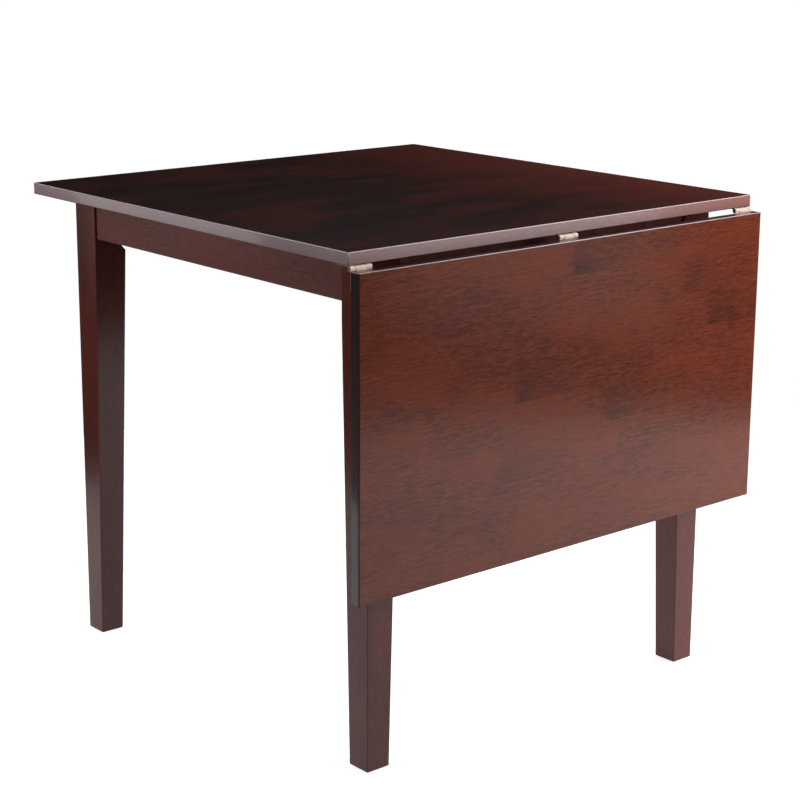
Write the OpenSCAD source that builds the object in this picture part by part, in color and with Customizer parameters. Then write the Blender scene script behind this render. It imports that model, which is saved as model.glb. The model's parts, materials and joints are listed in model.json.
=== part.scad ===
// Square dining table with one drop leaf, shown with the leaf hanging.
// Sizes are in millimetres. X runs along the hinge line, the leaf hangs on the -Y side
// and the floor is z = 0. The origin lies under the middle of the table's outline.

/* [Top and leaf] */
// Height of the table, from the floor to the face of the top
table_h = 750; // [700:5:780]
// Length of the top and of the leaf along the hinge line
top_w = 790; // [700:10:1000]
// Depth of the fixed top, from the hinge line to the rear edge
top_d = 790; // [650:10:950]
// Thickness of the top and of the leaf
board_t = 18; // [17:1:24]
// Length of the leaf, from its hinged edge to its free edge
leaf_l = 450; // [380:10:520]
// Gap between the edges of the top and of the raised leaf
joint_gap = 2.5; // [1.5:0.5:4]
// Radius of the eased edges of the top
top_ease = 1.5; // [1:0.5:4]
// Radius of the eased edges of the leaf
leaf_ease = 2; // [1:0.5:4]

/* [Legs] */
// Width of a square leg beside the aprons
leg_w = 56; // [50:1:64]
// Width of a square leg at the floor
foot_w = 40; // [30:1:46]
// Distance from the ends of the top to the legs
end_overhang = 58; // [45:1:80]
// Distance from the hinge line to the front legs
front_overhang = 31.5; // [28:0.5:45]
// Distance from the rear edge of the top to the rear legs
rear_overhang = 27.5; // [15:0.5:45]
// Length of leg below the aprons that stays square, before the taper
square_below = 24; // [23:1:60]
// Radius of the eased edges of the legs and aprons
frame_ease = 1.5; // [1:0.5:3]
// Diameter of the foot glides
glide_d = 18; // [12:1:26]
// Thickness of the foot glides under the legs
glide_t = 1.2; // [1:0.1:3]
// Diameter of the nail of a foot glide
glide_nail_d = 2.4; // [1.8:0.1:3]
// Length of the nail of a foot glide
glide_nail_l = 16; // [10:1:25]

/* [Aprons] */
// Height of the aprons
apron_h = 68; // [62:1:72]
// Thickness of the aprons
apron_t = 20; // [18:1:24]
// Setback of the aprons behind the outer faces of the legs
apron_setback = 3.7; // [1:0.1:6]

/* [Corner joints] */
// Cut across a leg's inner corner, measured along each face
corner_cut = 22; // [18:1:26]
// Radius of the round end of that cut, under the aprons
run_out_r = 24; // [20:1:26]
// Gap between a leg's cut corner and its corner bracket
corner_gap = 3; // [1:0.5:6]
// Thickness of the corner brackets
corner_plate_t = 2.5; // [2:0.5:4]
// Height of the corner brackets
corner_plate_h = 50; // [44:1:56]
// Length of a corner bracket's flange along each apron
corner_flange = 34; // [28:1:50]
// Diameter of the hanger bolts
bolt_d = 8; // [6:1:10]
// Length of a hanger bolt inside its leg
bolt_in_leg = 34; // [25:1:40]
// Diameter of the washers on the hanger bolts
washer_d = 20; // [16:1:24]
// Thickness of those washers
washer_t = 1.6; // [1:0.2:2.4]
// Width of the hexagon nuts across their flats
nut_w = 13; // [12:1:17]
// Height of the hexagon nuts
nut_h = 6.5; // [5:0.5:8]
// Length of thread that stands out of a nut
thread_out = 4; // [1:1:10]

/* [Top angles] */
// Length of both legs of the angles that hold the top
angle_leg = 20; // [18:1:26]
// Width of those angles
angle_w = 18; // [14:1:30]
// Thickness of those angles
angle_t = 2; // [1.5:0.5:3]
// Distance between the two angles on each apron
angle_spacing = 280; // [220:10:340]

/* [Hinges] */
// Diameter of a hinge barrel
barrel_d = 7; // [6:0.5:8]
// Diameter of a hinge pin
hinge_pin_d = 3; // [2.5:0.5:3.5]
// Diameter of a hinge pin's heads
hinge_pin_head_d = 4.6; // [4:0.2:5.6]
// Thickness of a hinge pin's heads
hinge_pin_head_t = 0.8; // [0.4:0.1:1]
// Length of a hinge barrel
hinge_l = 36; // [32:1:50]
// Length of the middle knuckle
mid_knuckle_l = 18; // [14:1:20]
// Width of a hinge plate, from the pin's axis to its edge
hinge_plate_w = 28; // [26:1:30]
// Thickness of a hinge plate
hinge_plate_t = 1.5; // [1.2:0.1:2]
// Distance from the end of the top to the barrel of an outer hinge
hinge_end = 1.2; // [1:0.2:20]
// Distance between a barrel and the boards beside it
barrel_gap = 0.3; // [0.2:0.1:1]

/* [Leaf braces] */
// Distance from the ends of the top to the frame brackets' ears
brace_inset = 170; // [150:5:240]
// Width of the brace arms
arm_w = 15; // [13:1:16]
// Thickness of the brace arms
arm_t = 2.5; // [2:0.5:3.5]
// Diameter of the round eyes at the ends of the arms
arm_eye_d = 16; // [15.5:0.5:17]
// Length of a lower arm between its pivots
lower_arm_l = 118; // [112:1:124]
// Distance of the frame pivot in front of the front apron
frame_pivot_out = 20; // [18.5:0.5:23]
// Distance of the frame pivot below the hinge axis
frame_pivot_drop = 40; // [37:1:46]
// Distance of the leaf pivot from the hinge axis, along the leaf
leaf_pivot_l = 150; // [135:5:165]
// Distance of the leaf pivot from the underside of the leaf
leaf_pivot_off = 11; // [10:0.5:14]
// Thickness of the brace brackets
bracket_t = 3; // [2:0.5:4]
// Width of a brace bracket's base, beside its ear
bracket_base_w = 30; // [24:1:36]
// Length of a brace bracket's base, along the board it is screwed to
bracket_base_l = 44; // [36:1:46]
// Diameter of the rivets
rivet_d = 5; // [4:0.5:6]
// Diameter of the rivet heads
rivet_head_d = 9; // [8:0.5:12]
// Thickness of the rivet heads
rivet_head_t = 1.8; // [1.2:0.2:2.4]
// Thickness of the stop beside each elbow
stop_t = 2.5; // [2:0.5:4]
// Length of the stop along the straight brace
stop_l = 10; // [6:1:14]

/* [Screws and clearances] */
// Diameter of the pan head screws in the brackets
screw_d = 4; // [3.5:0.5:4.5]
// Length of those screws under the head
screw_l = 15; // [13:1:16]
// Diameter of their heads
screw_head_d = 8; // [7:0.5:9]
// Height of their heads
screw_head_h = 2.4; // [1.6:0.2:3]
// Diameter of the flat head screws in the hinges
hinge_screw_d = 3; // [2.5:0.5:3.5]
// Length of those screws
hinge_screw_l = 14; // [10:1:15]
// Diameter of their flat heads
hinge_screw_head_d = 5.8; // [5:0.2:6.4]
// Clearance round pins, screws, bolts and nails in their holes
fit = 0.05; // [0.02:0.01:0.08]
// Gap between flat faces that slide past each other
side_gap = 0.4; // [0.3:0.1:0.8]

/* [Hidden] */
$fn = 48;
ease_steps = 3;         // facets round an eased edge
run_out_steps = 10;     // facets round the end of a leg's corner cut
slab_t = 0.1;           // thin slice that a tapered leg is stretched over
over = 1;               // length that a cut runs past the surface it opens
tip_share = 1.2;        // length of a screw's point, in screw diameters

under_z = table_h - board_t;                    // underside of the top
apron_z = under_z - apron_h;                    // lower edge of the aprons
hinge_drop = barrel_d / 2 + barrel_gap;         // hinge axis below the underside of the top
axis_z = under_z - hinge_drop;                  // height of the hinge axis
table_d = top_d + hinge_drop + board_t;         // depth of the outline with the leaf hanging
hinge_y = hinge_drop + board_t - table_d / 2;   // place of the hinge line

apron_in = apron_setback + apron_t;             // inner face of an apron, from the leg's outer face
apron_face_y = front_overhang + apron_setback;  // outer face of the front apron, from the hinge line
frame_w = top_w - 2 * end_overhang;             // width over the legs
frame_d = top_d - front_overhang - rear_overhang;

cut_d = (2 * leg_w - corner_cut) / sqrt(2);     // leg's outer corner to the face of its corner cut
plate_s = 2 * leg_w - corner_cut + corner_gap * sqrt(2);
corner_z = apron_z + apron_h / 2;               // height of the hanger bolts
flange_end = plate_s - apron_in + corner_flange;
flange_screw = flange_end - screw_head_d;       // screws of a corner bracket, from the leg's outer corner
flange_screw_z = corner_plate_h / 2 - screw_head_d;

hinge_x = [-top_w / 2 + hinge_end + hinge_l / 2, 0, top_w / 2 - hinge_end - hinge_l / 2];
plate_start = barrel_d / 2 + barrel_gap;        // a hinge plate clears the other plate's knuckles
knuckle_side = (hinge_l - mid_knuckle_l) / 2;
hinge_screws = [
    [hinge_l / 2 - hinge_screw_head_d, plate_start + hinge_screw_head_d],
    [hinge_screw_head_d - hinge_l / 2, plate_start + hinge_screw_head_d],
    [0, hinge_plate_w - hinge_screw_head_d]
];

// The brace is drawn in a plane of [y, z] points measured from the hinge axis.
frame_pivot = [apron_face_y - frame_pivot_out, -frame_pivot_drop];
leaf_pivot_up = [-leaf_pivot_l, hinge_drop - leaf_pivot_off];
leaf_pivot = [-leaf_pivot_up.y, leaf_pivot_up.x];
upper_arm_l = norm(leaf_pivot_up - frame_pivot) - lower_arm_l;
ear_d = arm_eye_d + 1;                          // round end of a bracket's ear
elbow = elbow_point(frame_pivot, leaf_pivot, lower_arm_l, upper_arm_l);

// Layers of a brace along X, from the frame bracket's ear to the leaf bracket's ear
lower_x = bracket_t + side_gap;
upper_x = lower_x + arm_t + side_gap;
leaf_ear_x = upper_x + arm_t + side_gap;

walnut = [0.25, 0.15, 0.12];
walnut_red = [0.36, 0.20, 0.15];
brass = [0.82, 0.70, 0.45];
zinc = [0.66, 0.67, 0.69];
nylon = [0.12, 0.12, 0.12];

// Where two arms of lengths a and b from p and q meet, on the side of the table's inside
function elbow_point(p, q, a, b) =
    let (d = norm(q - p), u = (q - p) / d, f = (a * a - b * b + d * d) / (2 * d))
    p + f * u + sqrt(a * a - f * f) * [-u.y, u.x];

// Points of a quarter circle, from the angle start
function quarter(centre, r, start, steps) =
    [for (i = [0:steps]) centre + r * [cos(start + 90 * i / steps), sin(start + 90 * i / steps)]];

// Angle of the line from p to q
function heading(p, q) = atan2(q.y - p.y, q.x - p.x);

// Places

// Children are placed from the hinge line at floor level
module from_hinge_line() {
    translate([0, hinge_y, 0]) children();
}

// Children are placed from the hinge axis
module from_axis() {
    from_hinge_line() translate([0, 0, axis_z]) children();
}

// Children are placed from the hinge axis as on the raised leaf, and hang with it
module on_leaf() {
    from_axis() rotate([90, 0, 0]) children();
}

// Children are placed from a leg's outer corner, with +X and +Y towards the inside
module at_corner(right, rear) {
    from_hinge_line()
        translate([(right ? 1 : -1) * frame_w / 2, rear ? top_d - rear_overhang : front_overhang, 0])
            mirror([right ? 1 : 0, 0, 0]) mirror([0, rear ? 1 : 0, 0]) children();
}

module at_corners() {
    for (right = [false, true], rear = [false, true]) at_corner(right, rear) children();
}

// Children are placed on the line of a hanger bolt, at the face of the corner cut
module on_bolt_line() {
    translate([0, 0, corner_z]) rotate([0, 0, 45]) translate([cut_d, 0, 0]) rotate([0, 90, 0]) children();
}

// Children are placed from the outer face of a frame bracket's ear, mirrored on the right
module at_brace(right) {
    mirror([right ? 1 : 0, 0, 0]) translate([-top_w / 2 + brace_inset, 0, 0]) children();
}

// Children point along +X at a [y, z] point of the brace's plane
module at_pivot(p) {
    translate([0, p.x, p.y]) rotate([0, 90, 0]) children();
}

// Flat shapes and small parts

// Rectangle centred on the origin, with eased corners
module eased_rectangle(w, d, r) {
    polygon(concat(
        quarter([w / 2 - r, d / 2 - r], r, 0, ease_steps),
        quarter([r - w / 2, d / 2 - r], r, 90, ease_steps),
        quarter([r - w / 2, r - d / 2], r, 180, ease_steps),
        quarter([w / 2 - r, r - d / 2], r, 270, ease_steps)
    ));
}

// Board centred on the origin, with all its edges eased
module eased_board(w, d, h, r) {
    intersection() {
        linear_extrude(height = h, center = true) eased_rectangle(w, d, r);
        rotate([90, 0, 0]) linear_extrude(height = d, center = true) eased_rectangle(w, h, r);
        rotate([90, 0, 90]) linear_extrude(height = w, center = true) eased_rectangle(d, h, r);
    }
}

// Hole along +Z from z = 0, opened a little past its mouth
module pilot(d, depth) {
    translate([0, 0, -over]) cylinder(d = d + 2 * fit, h = depth + over);
}

// Pan head screw: the head's seat is z = 0 and the shank runs along +Z
module pan_screw() {
    tip = tip_share * screw_d;
    translate([0, 0, -screw_head_h / 2]) cylinder(d = screw_head_d, h = screw_head_h / 2);
    translate([0, 0, -screw_head_h])
        cylinder(d1 = screw_head_d - screw_head_h, d2 = screw_head_d, h = screw_head_h / 2);
    cylinder(d = screw_d, h = screw_l - tip);
    translate([0, 0, screw_l - tip]) cylinder(d1 = screw_d, d2 = screw_d / 4, h = tip);
}

// Flat head screw: the head's face is z = 0 and the shank runs along +Z
module flat_screw() {
    tip = tip_share * hinge_screw_d;
    cylinder(d1 = hinge_screw_head_d, d2 = hinge_screw_d, h = hinge_plate_t);
    translate([0, 0, hinge_plate_t]) cylinder(d = hinge_screw_d, h = hinge_screw_l - hinge_plate_t - tip);
    translate([0, 0, hinge_screw_l - tip]) cylinder(d1 = hinge_screw_d, d2 = hinge_screw_d / 4, h = tip);
}

// Head of a rivet, below z = 0
module rivet_head() {
    translate([0, 0, -rivet_head_t / 2]) cylinder(d = rivet_head_d, h = rivet_head_t / 2);
    translate([0, 0, -rivet_head_t])
        cylinder(d1 = rivet_head_d - rivet_head_t, d2 = rivet_head_d, h = rivet_head_t / 2);
}

// Rivet with one head below z = 0 and its shank along +Z
module rivet(l) {
    rivet_head();
    cylinder(d = rivet_d, h = l);
}

// Rivet with a head at each end of a shank of length l
module closed_rivet(l) {
    rivet(l);
    translate([0, 0, l]) mirror([0, 0, 1]) rivet_head();
}

// Screws of the frame, as places for a screw or for its hole. z = 0 is the screwed board's face,
// and the shank's side is +Z.

module at_corner_bracket_screws() {
    at_corners() {
        for (dz = [-flange_screw_z, flange_screw_z]) {
            translate([flange_screw, apron_in, corner_z + dz]) rotate([90, 0, 0]) children();
            translate([apron_in, flange_screw, corner_z + dz]) rotate([0, -90, 0]) children();
        }
    }
}

// Places of the angles under the top: z = 0 is the underside, y = 0 the apron's inner face, +Y inside
module at_angles() {
    from_hinge_line() translate([0, 0, under_z]) {
        for (s = [-angle_spacing / 2, angle_spacing / 2]) {
            translate([s, front_overhang + apron_in, 0]) children();
            translate([s, top_d - rear_overhang - apron_in, 0]) rotate([0, 0, 180]) children();
            translate([0, front_overhang + frame_d / 2 + s, 0]) {
                translate([apron_in - frame_w / 2, 0, 0]) rotate([0, 0, -90]) children();
                translate([frame_w / 2 - apron_in, 0, 0]) rotate([0, 0, 90]) children();
            }
        }
    }
}

module at_angle_screws() {
    mid = (angle_leg + angle_t) / 2;
    at_angles() {
        translate([0, mid, 0]) children();
        translate([0, 0, -mid]) rotate([90, 0, 0]) children();
    }
}

module at_hinge_top_screws() {
    from_hinge_line() translate([0, 0, under_z])
        for (x = hinge_x, p = hinge_screws) translate([x + p.x, p.y, 0]) children();
}

module at_hinge_leaf_screws() {
    on_leaf() translate([0, 0, hinge_drop])
        for (x = hinge_x, p = hinge_screws) translate([x + p.x, -p.y, 0]) children();
}

module at_brace_frame_screws() {
    for (right = [false, true], dz = [-1, 1])
        from_axis() at_brace(right)
            translate([bracket_t - bracket_base_w + screw_head_d, apron_face_y,
                       frame_pivot.y + dz * (bracket_base_l / 2 - screw_head_d)])
                rotate([-90, 0, 0]) children();
}

module at_brace_leaf_screws() {
    for (right = [false, true], dy = [-1, 1])
        on_leaf() at_brace(right)
            translate([leaf_ear_x + bracket_base_w - screw_head_d,
                       leaf_pivot_up.x + dy * (bracket_base_l / 2 - screw_head_d), hinge_drop])
                children();
}

// Boards

module table_top() {
    color(walnut) difference() {
        from_hinge_line()
            translate([0, top_d / 2, under_z + board_t / 2]) eased_board(top_w, top_d, board_t, top_ease);
        at_hinge_top_screws() pilot(hinge_screw_d, hinge_screw_l - hinge_plate_t);
        at_angle_screws() pilot(screw_d, screw_l - angle_t);
    }
}

module drop_leaf() {
    color(walnut_red) difference() {
        on_leaf() translate([0, -joint_gap - leaf_l / 2, hinge_drop + board_t / 2])
            eased_board(top_w, leaf_l, board_t, leaf_ease);
        at_hinge_leaf_screws() pilot(hinge_screw_d, hinge_screw_l - hinge_plate_t);
        at_brace_leaf_screws() pilot(screw_d, screw_l - bracket_t);
    }
}

// Legs

// Slice of a leg from its outer corner, w wide, drawn in by inset all round
module leg_slice(w, h, inset = 0) {
    linear_extrude(height = h) translate([w / 2, w / 2])
        eased_rectangle(w - 2 * inset, w - 2 * inset, frame_ease);
}

// Cutter for the inner corner: flat beside the aprons, with a round end below them
module corner_cutter() {
    reach = leg_w * sqrt(2);
    rotate([0, 0, 45]) rotate([90, 0, 0]) linear_extrude(height = 2 * leg_w, center = true)
        polygon(concat(
            [[cut_d, table_h]],
            quarter([cut_d + run_out_r, apron_z], run_out_r, 180, run_out_steps),
            [[reach, apron_z - run_out_r], [reach, table_h]]
        ));
}

module leg() {
    knee_z = apron_z - square_below;
    difference() {
        union() {
            hull() {
                translate([0, 0, glide_t]) leg_slice(foot_w, slab_t, frame_ease);
                translate([0, 0, glide_t + frame_ease]) leg_slice(foot_w, slab_t);
                translate([0, 0, knee_z - slab_t]) leg_slice(leg_w, slab_t);
            }
            translate([0, 0, knee_z]) leg_slice(leg_w, under_z - knee_z);
        }
        corner_cutter();
        on_bolt_line() rotate([180, 0, 0]) pilot(bolt_d, bolt_in_leg);
        translate([foot_w / 2, foot_w / 2, glide_t]) pilot(glide_nail_d, glide_nail_l);
    }
}

module leg_front_left() { color(walnut) at_corner(false, false) leg(); }
module leg_front_right() { color(walnut) at_corner(true, false) leg(); }
module leg_rear_left() { color(walnut) at_corner(false, true) leg(); }
module leg_rear_right() { color(walnut) at_corner(true, true) leg(); }

module foot_glides() {
    color(nylon) at_corners() translate([foot_w / 2, foot_w / 2, 0]) {
        cylinder(d = glide_d, h = glide_t);
        cylinder(d = glide_nail_d, h = glide_t + glide_nail_l - glide_nail_d);
    }
}

// Aprons

// Apron l long, centred on the origin, with its lower edges eased
module apron(l) {
    rotate([90, 0, 90]) linear_extrude(height = l, center = true) polygon(concat(
        [[apron_t / 2, apron_h], [-apron_t / 2, apron_h]],
        quarter([frame_ease - apron_t / 2, frame_ease], frame_ease, 180, ease_steps),
        quarter([apron_t / 2 - frame_ease, frame_ease], frame_ease, 270, ease_steps)
    ));
}

// Holes of every screw that enters an apron
module apron_holes() {
    at_corner_bracket_screws() pilot(screw_d, screw_l - corner_plate_t);
    at_angle_screws() pilot(screw_d, screw_l - angle_t);
    at_brace_frame_screws() pilot(screw_d, screw_l - bracket_t);
}

module long_apron(y) {
    color(walnut_red) difference() {
        from_hinge_line() translate([0, y, apron_z]) apron(frame_w - 2 * leg_w);
        apron_holes();
    }
}

module side_apron(x) {
    color(walnut_red) difference() {
        from_hinge_line() translate([x, front_overhang + frame_d / 2, apron_z])
            rotate([0, 0, 90]) apron(frame_d - 2 * leg_w);
        apron_holes();
    }
}

module apron_front() { long_apron(apron_face_y + apron_t / 2); }
module apron_rear() { long_apron(top_d - rear_overhang - apron_setback - apron_t / 2); }
module apron_left() { side_apron(apron_setback + apron_t / 2 - frame_w / 2); }
module apron_right() { side_apron(frame_w / 2 - apron_setback - apron_t / 2); }

// Corner joints

// Bent plate across the inside corner, with a flange on each apron
module corner_bracket() {
    bend = plate_s - apron_in;
    inner = apron_in + corner_plate_t;
    inner_bend = plate_s + corner_plate_t * sqrt(2) - inner;
    difference() {
        translate([0, 0, corner_z - corner_plate_h / 2]) linear_extrude(height = corner_plate_h) polygon([
            [apron_in, flange_end], [apron_in, bend], [bend, apron_in], [flange_end, apron_in],
            [flange_end, inner], [inner_bend, inner], [inner, inner_bend], [inner, flange_end]
        ]);
        on_bolt_line() pilot(bolt_d, corner_gap + corner_plate_t + over);
        for (dz = [-flange_screw_z, flange_screw_z]) {
            translate([flange_screw, inner, corner_z + dz]) rotate([90, 0, 0]) pilot(screw_d, corner_plate_t + over);
            translate([inner, flange_screw, corner_z + dz]) rotate([0, -90, 0]) pilot(screw_d, corner_plate_t + over);
        }
    }
}

module corner_bracket_front_left() { color(zinc) at_corner(false, false) corner_bracket(); }
module corner_bracket_front_right() { color(zinc) at_corner(true, false) corner_bracket(); }
module corner_bracket_rear_left() { color(zinc) at_corner(false, true) corner_bracket(); }
module corner_bracket_rear_right() { color(zinc) at_corner(true, true) corner_bracket(); }

module corner_bracket_screws() {
    color(zinc) at_corner_bracket_screws() translate([0, 0, -corner_plate_t]) pan_screw();
}

module hanger_bolts() {
    stack = corner_gap + corner_plate_t + washer_t + nut_h + thread_out;
    color(zinc) at_corners() on_bolt_line()
        translate([0, 0, over - bolt_in_leg]) cylinder(d = bolt_d, h = bolt_in_leg - over + stack);
}

module hanger_washers() {
    color(zinc) at_corners() on_bolt_line() translate([0, 0, corner_gap + corner_plate_t]) difference() {
        cylinder(d = washer_d, h = washer_t);
        pilot(bolt_d, washer_t + over);
    }
}

module hanger_nuts() {
    color(zinc) at_corners() on_bolt_line()
        translate([0, 0, corner_gap + corner_plate_t + washer_t]) difference() {
            cylinder(d = nut_w / cos(30), h = nut_h, $fn = 6);
            pilot(bolt_d, nut_h + over);
        }
}

// Angles that hold the top

module top_angle_brackets() {
    color(zinc) at_angles() difference() {
        translate([-angle_w / 2, 0, 0]) rotate([90, 0, 90]) linear_extrude(height = angle_w) polygon([
            [0, 0], [angle_leg, 0], [angle_leg, -angle_t], [angle_t, -angle_t],
            [angle_t, -angle_leg], [0, -angle_leg]
        ]);
        translate([0, (angle_leg + angle_t) / 2, -angle_t]) pilot(screw_d, angle_t + over);
        translate([0, angle_t, -(angle_leg + angle_t) / 2]) rotate([90, 0, 0]) pilot(screw_d, angle_t + over);
    }
}

module top_angle_screws() {
    color(zinc) at_angle_screws() translate([0, 0, -angle_t]) pan_screw();
}

// Hinges

// Plate under a board, with the knuckles over the x ranges given. y = 0, z = 0 is the pin's axis.
module hinge_plate(knuckles) {
    low = hinge_drop - hinge_plate_t;
    difference() {
        union() {
            translate([-hinge_l / 2, plate_start, low])
                cube([hinge_l, hinge_plate_w - plate_start, hinge_plate_t]);
            for (k = knuckles) {
                translate([k[0], 0, low]) cube([k[1] - k[0], plate_start, hinge_plate_t]);
                translate([k[0], 0, 0]) rotate([0, 90, 0]) cylinder(d = barrel_d, h = k[1] - k[0]);
            }
        }
        translate([-hinge_l / 2, 0, 0]) rotate([0, 90, 0]) pilot(hinge_pin_d, hinge_l + over);
        for (p = hinge_screws) translate([p.x, p.y, low]) {
            cylinder(d1 = hinge_screw_head_d + 2 * fit, d2 = hinge_screw_d + 2 * fit, h = hinge_plate_t);
            pilot(hinge_screw_d, hinge_plate_t + over);
        }
    }
}

module hinge_top_plate(i) {
    color(brass) from_axis() translate([hinge_x[i], 0, 0]) hinge_plate([
        [-hinge_l / 2, knuckle_side - hinge_l / 2 - side_gap / 2],
        [hinge_l / 2 - knuckle_side + side_gap / 2, hinge_l / 2]
    ]);
}

module hinge_leaf_plate(i) {
    color(brass) on_leaf() translate([hinge_x[i], 0, 0]) mirror([0, 1, 0]) hinge_plate([
        [side_gap / 2 - mid_knuckle_l / 2, mid_knuckle_l / 2 - side_gap / 2]
    ]);
}

module hinge_pin(i) {
    color(brass) from_axis() translate([hinge_x[i] - hinge_l / 2, 0, 0]) rotate([0, 90, 0]) {
        cylinder(d = hinge_pin_d, h = hinge_l);
        translate([0, 0, -hinge_pin_head_t]) cylinder(d = hinge_pin_head_d, h = hinge_pin_head_t);
        translate([0, 0, hinge_l]) cylinder(d = hinge_pin_head_d, h = hinge_pin_head_t);
    }
}

module hinge_top_plate_left() { hinge_top_plate(0); }
module hinge_top_plate_middle() { hinge_top_plate(1); }
module hinge_top_plate_right() { hinge_top_plate(2); }
module hinge_leaf_plate_left() { hinge_leaf_plate(0); }
module hinge_leaf_plate_middle() { hinge_leaf_plate(1); }
module hinge_leaf_plate_right() { hinge_leaf_plate(2); }
module hinge_pin_left() { hinge_pin(0); }
module hinge_pin_middle() { hinge_pin(1); }
module hinge_pin_right() { hinge_pin(2); }

module hinge_top_screws() {
    color(brass) at_hinge_top_screws() translate([0, 0, -hinge_plate_t]) flat_screw();
}

module hinge_leaf_screws() {
    color(brass) at_hinge_leaf_screws() translate([0, 0, -hinge_plate_t]) flat_screw();
}

// Braces

// Children in the [y, z] plane become a plate t thick along +X
module brace_plate(t) {
    rotate([90, 0, 90]) linear_extrude(height = t) children();
}

// Flat bar between two points, with a round eye and a rivet hole at each
module arm_outline(p, q) {
    difference() {
        union() {
            translate(p) circle(d = arm_eye_d);
            translate(q) circle(d = arm_eye_d);
            translate(p) rotate(heading(p, q)) translate([0, -arm_w / 2]) square([norm(q - p), arm_w]);
        }
        translate(p) circle(d = rivet_d + 2 * fit);
        translate(q) circle(d = rivet_d + 2 * fit);
    }
}

// Ear that tapers from a base at y = base to a round end at the pivot p
module ear_outline(base, p) {
    flare = bracket_base_l / 2;
    difference() {
        union() {
            translate(p) circle(d = ear_d);
            polygon([[base, p.y - flare], [base, p.y + flare], [p.x, p.y + arm_w / 2], [p.x, p.y - arm_w / 2]]);
        }
        translate(p) circle(d = rivet_d + 2 * fit);
    }
}

// Frame bracket: an ear that stands out from a base on the front apron
module brace_frame_bracket() {
    difference() {
        union() {
            brace_plate(bracket_t) ear_outline(apron_face_y, frame_pivot);
            translate([bracket_t - bracket_base_w, apron_face_y - bracket_t, frame_pivot.y - bracket_base_l / 2])
                cube([bracket_base_w, bracket_t, bracket_base_l]);
        }
        for (dz = [-1, 1])
            translate([bracket_t - bracket_base_w + screw_head_d, apron_face_y - bracket_t,
                       frame_pivot.y + dz * (bracket_base_l / 2 - screw_head_d)])
                rotate([-90, 0, 0]) pilot(screw_d, bracket_t + over);
    }
}

// Leaf bracket: the same ear as it hangs, on a base screwed to the leaf's inner face
module brace_leaf_bracket() {
    translate([leaf_ear_x, 0, 0]) difference() {
        union() {
            brace_plate(bracket_t) ear_outline(-hinge_drop, leaf_pivot);
            translate([0, -hinge_drop, leaf_pivot.y - bracket_base_l / 2])
                cube([bracket_base_w, bracket_t, bracket_base_l]);
        }
        for (dz = [-1, 1])
            translate([bracket_base_w - screw_head_d, bracket_t - hinge_drop,
                       leaf_pivot.y + dz * (bracket_base_l / 2 - screw_head_d)])
                rotate([90, 0, 0]) pilot(screw_d, bracket_t + over);
    }
}

// Lower arm, with a lug past the elbow whose bent edge stops the straightened upper arm
module brace_lower_arm() {
    stop_y = arm_eye_d / 2 + side_gap;
    lug_l = arm_w;
    translate([lower_x, 0, 0]) {
        brace_plate(arm_t) difference() {
            union() {
                arm_outline(frame_pivot, elbow);
                translate(elbow) rotate(heading(frame_pivot, elbow)) polygon([
                    [-arm_w, arm_w / 2], [0, stop_y + stop_t], [lug_l, stop_y + stop_t],
                    [lug_l, stop_y], [arm_w / 2, 0], [0, 0]
                ]);
            }
            translate(elbow) circle(d = rivet_d + 2 * fit);
        }
        brace_plate(2 * arm_t + side_gap)
            translate(elbow) rotate(heading(frame_pivot, elbow))
                translate([lug_l - stop_l, stop_y]) square([stop_l, stop_t]);
    }
}

module brace_upper_arm() {
    translate([upper_x, 0, 0]) brace_plate(arm_t) arm_outline(elbow, leaf_pivot);
}

module frame_brace(right) { from_axis() at_brace(right) children(); }

module brace_frame_bracket_left() { color(zinc) frame_brace(false) brace_frame_bracket(); }
module brace_frame_bracket_right() { color(zinc) frame_brace(true) brace_frame_bracket(); }
module brace_lower_arm_left() { color(zinc) frame_brace(false) brace_lower_arm(); }
module brace_lower_arm_right() { color(zinc) frame_brace(true) brace_lower_arm(); }
module brace_upper_arm_left() { color(zinc) frame_brace(false) brace_upper_arm(); }
module brace_upper_arm_right() { color(zinc) frame_brace(true) brace_upper_arm(); }
module brace_leaf_bracket_left() { color(zinc) frame_brace(false) brace_leaf_bracket(); }
module brace_leaf_bracket_right() { color(zinc) frame_brace(true) brace_leaf_bracket(); }

// Pivot rivets. The frame and elbow rivets run through both pieces and have a head at each end.

module brace_frame_rivets() {
    l = lower_x + arm_t + side_gap;
    color(zinc) for (right = [false, true]) frame_brace(right) at_pivot(frame_pivot) closed_rivet(l);
}

module brace_elbow_rivet() {
    l = 2 * arm_t + 2 * side_gap;
    translate([lower_x - side_gap, 0, 0]) at_pivot(elbow) closed_rivet(l);
}

module brace_elbow_rivet_left() { color(zinc) frame_brace(false) brace_elbow_rivet(); }
module brace_elbow_rivet_right() { color(zinc) frame_brace(true) brace_elbow_rivet(); }

// The leaf pivot's two halves: one in the upper arm and one in the leaf bracket, face to face

module brace_arm_rivet() {
    translate([upper_x, 0, 0]) at_pivot(leaf_pivot) rivet(arm_t);
}

module brace_arm_rivet_left() { color(zinc) frame_brace(false) brace_arm_rivet(); }
module brace_arm_rivet_right() { color(zinc) frame_brace(true) brace_arm_rivet(); }

module brace_leaf_rivets() {
    color(zinc) for (right = [false, true]) frame_brace(right)
        translate([leaf_ear_x + bracket_t, 0, 0]) at_pivot(leaf_pivot) mirror([0, 0, 1]) rivet(bracket_t);
}

module brace_frame_screws() {
    color(zinc) at_brace_frame_screws() translate([0, 0, -bracket_t]) pan_screw();
}

module brace_leaf_screws() {
    color(zinc) at_brace_leaf_screws() translate([0, 0, -bracket_t]) pan_screw();
}

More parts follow.
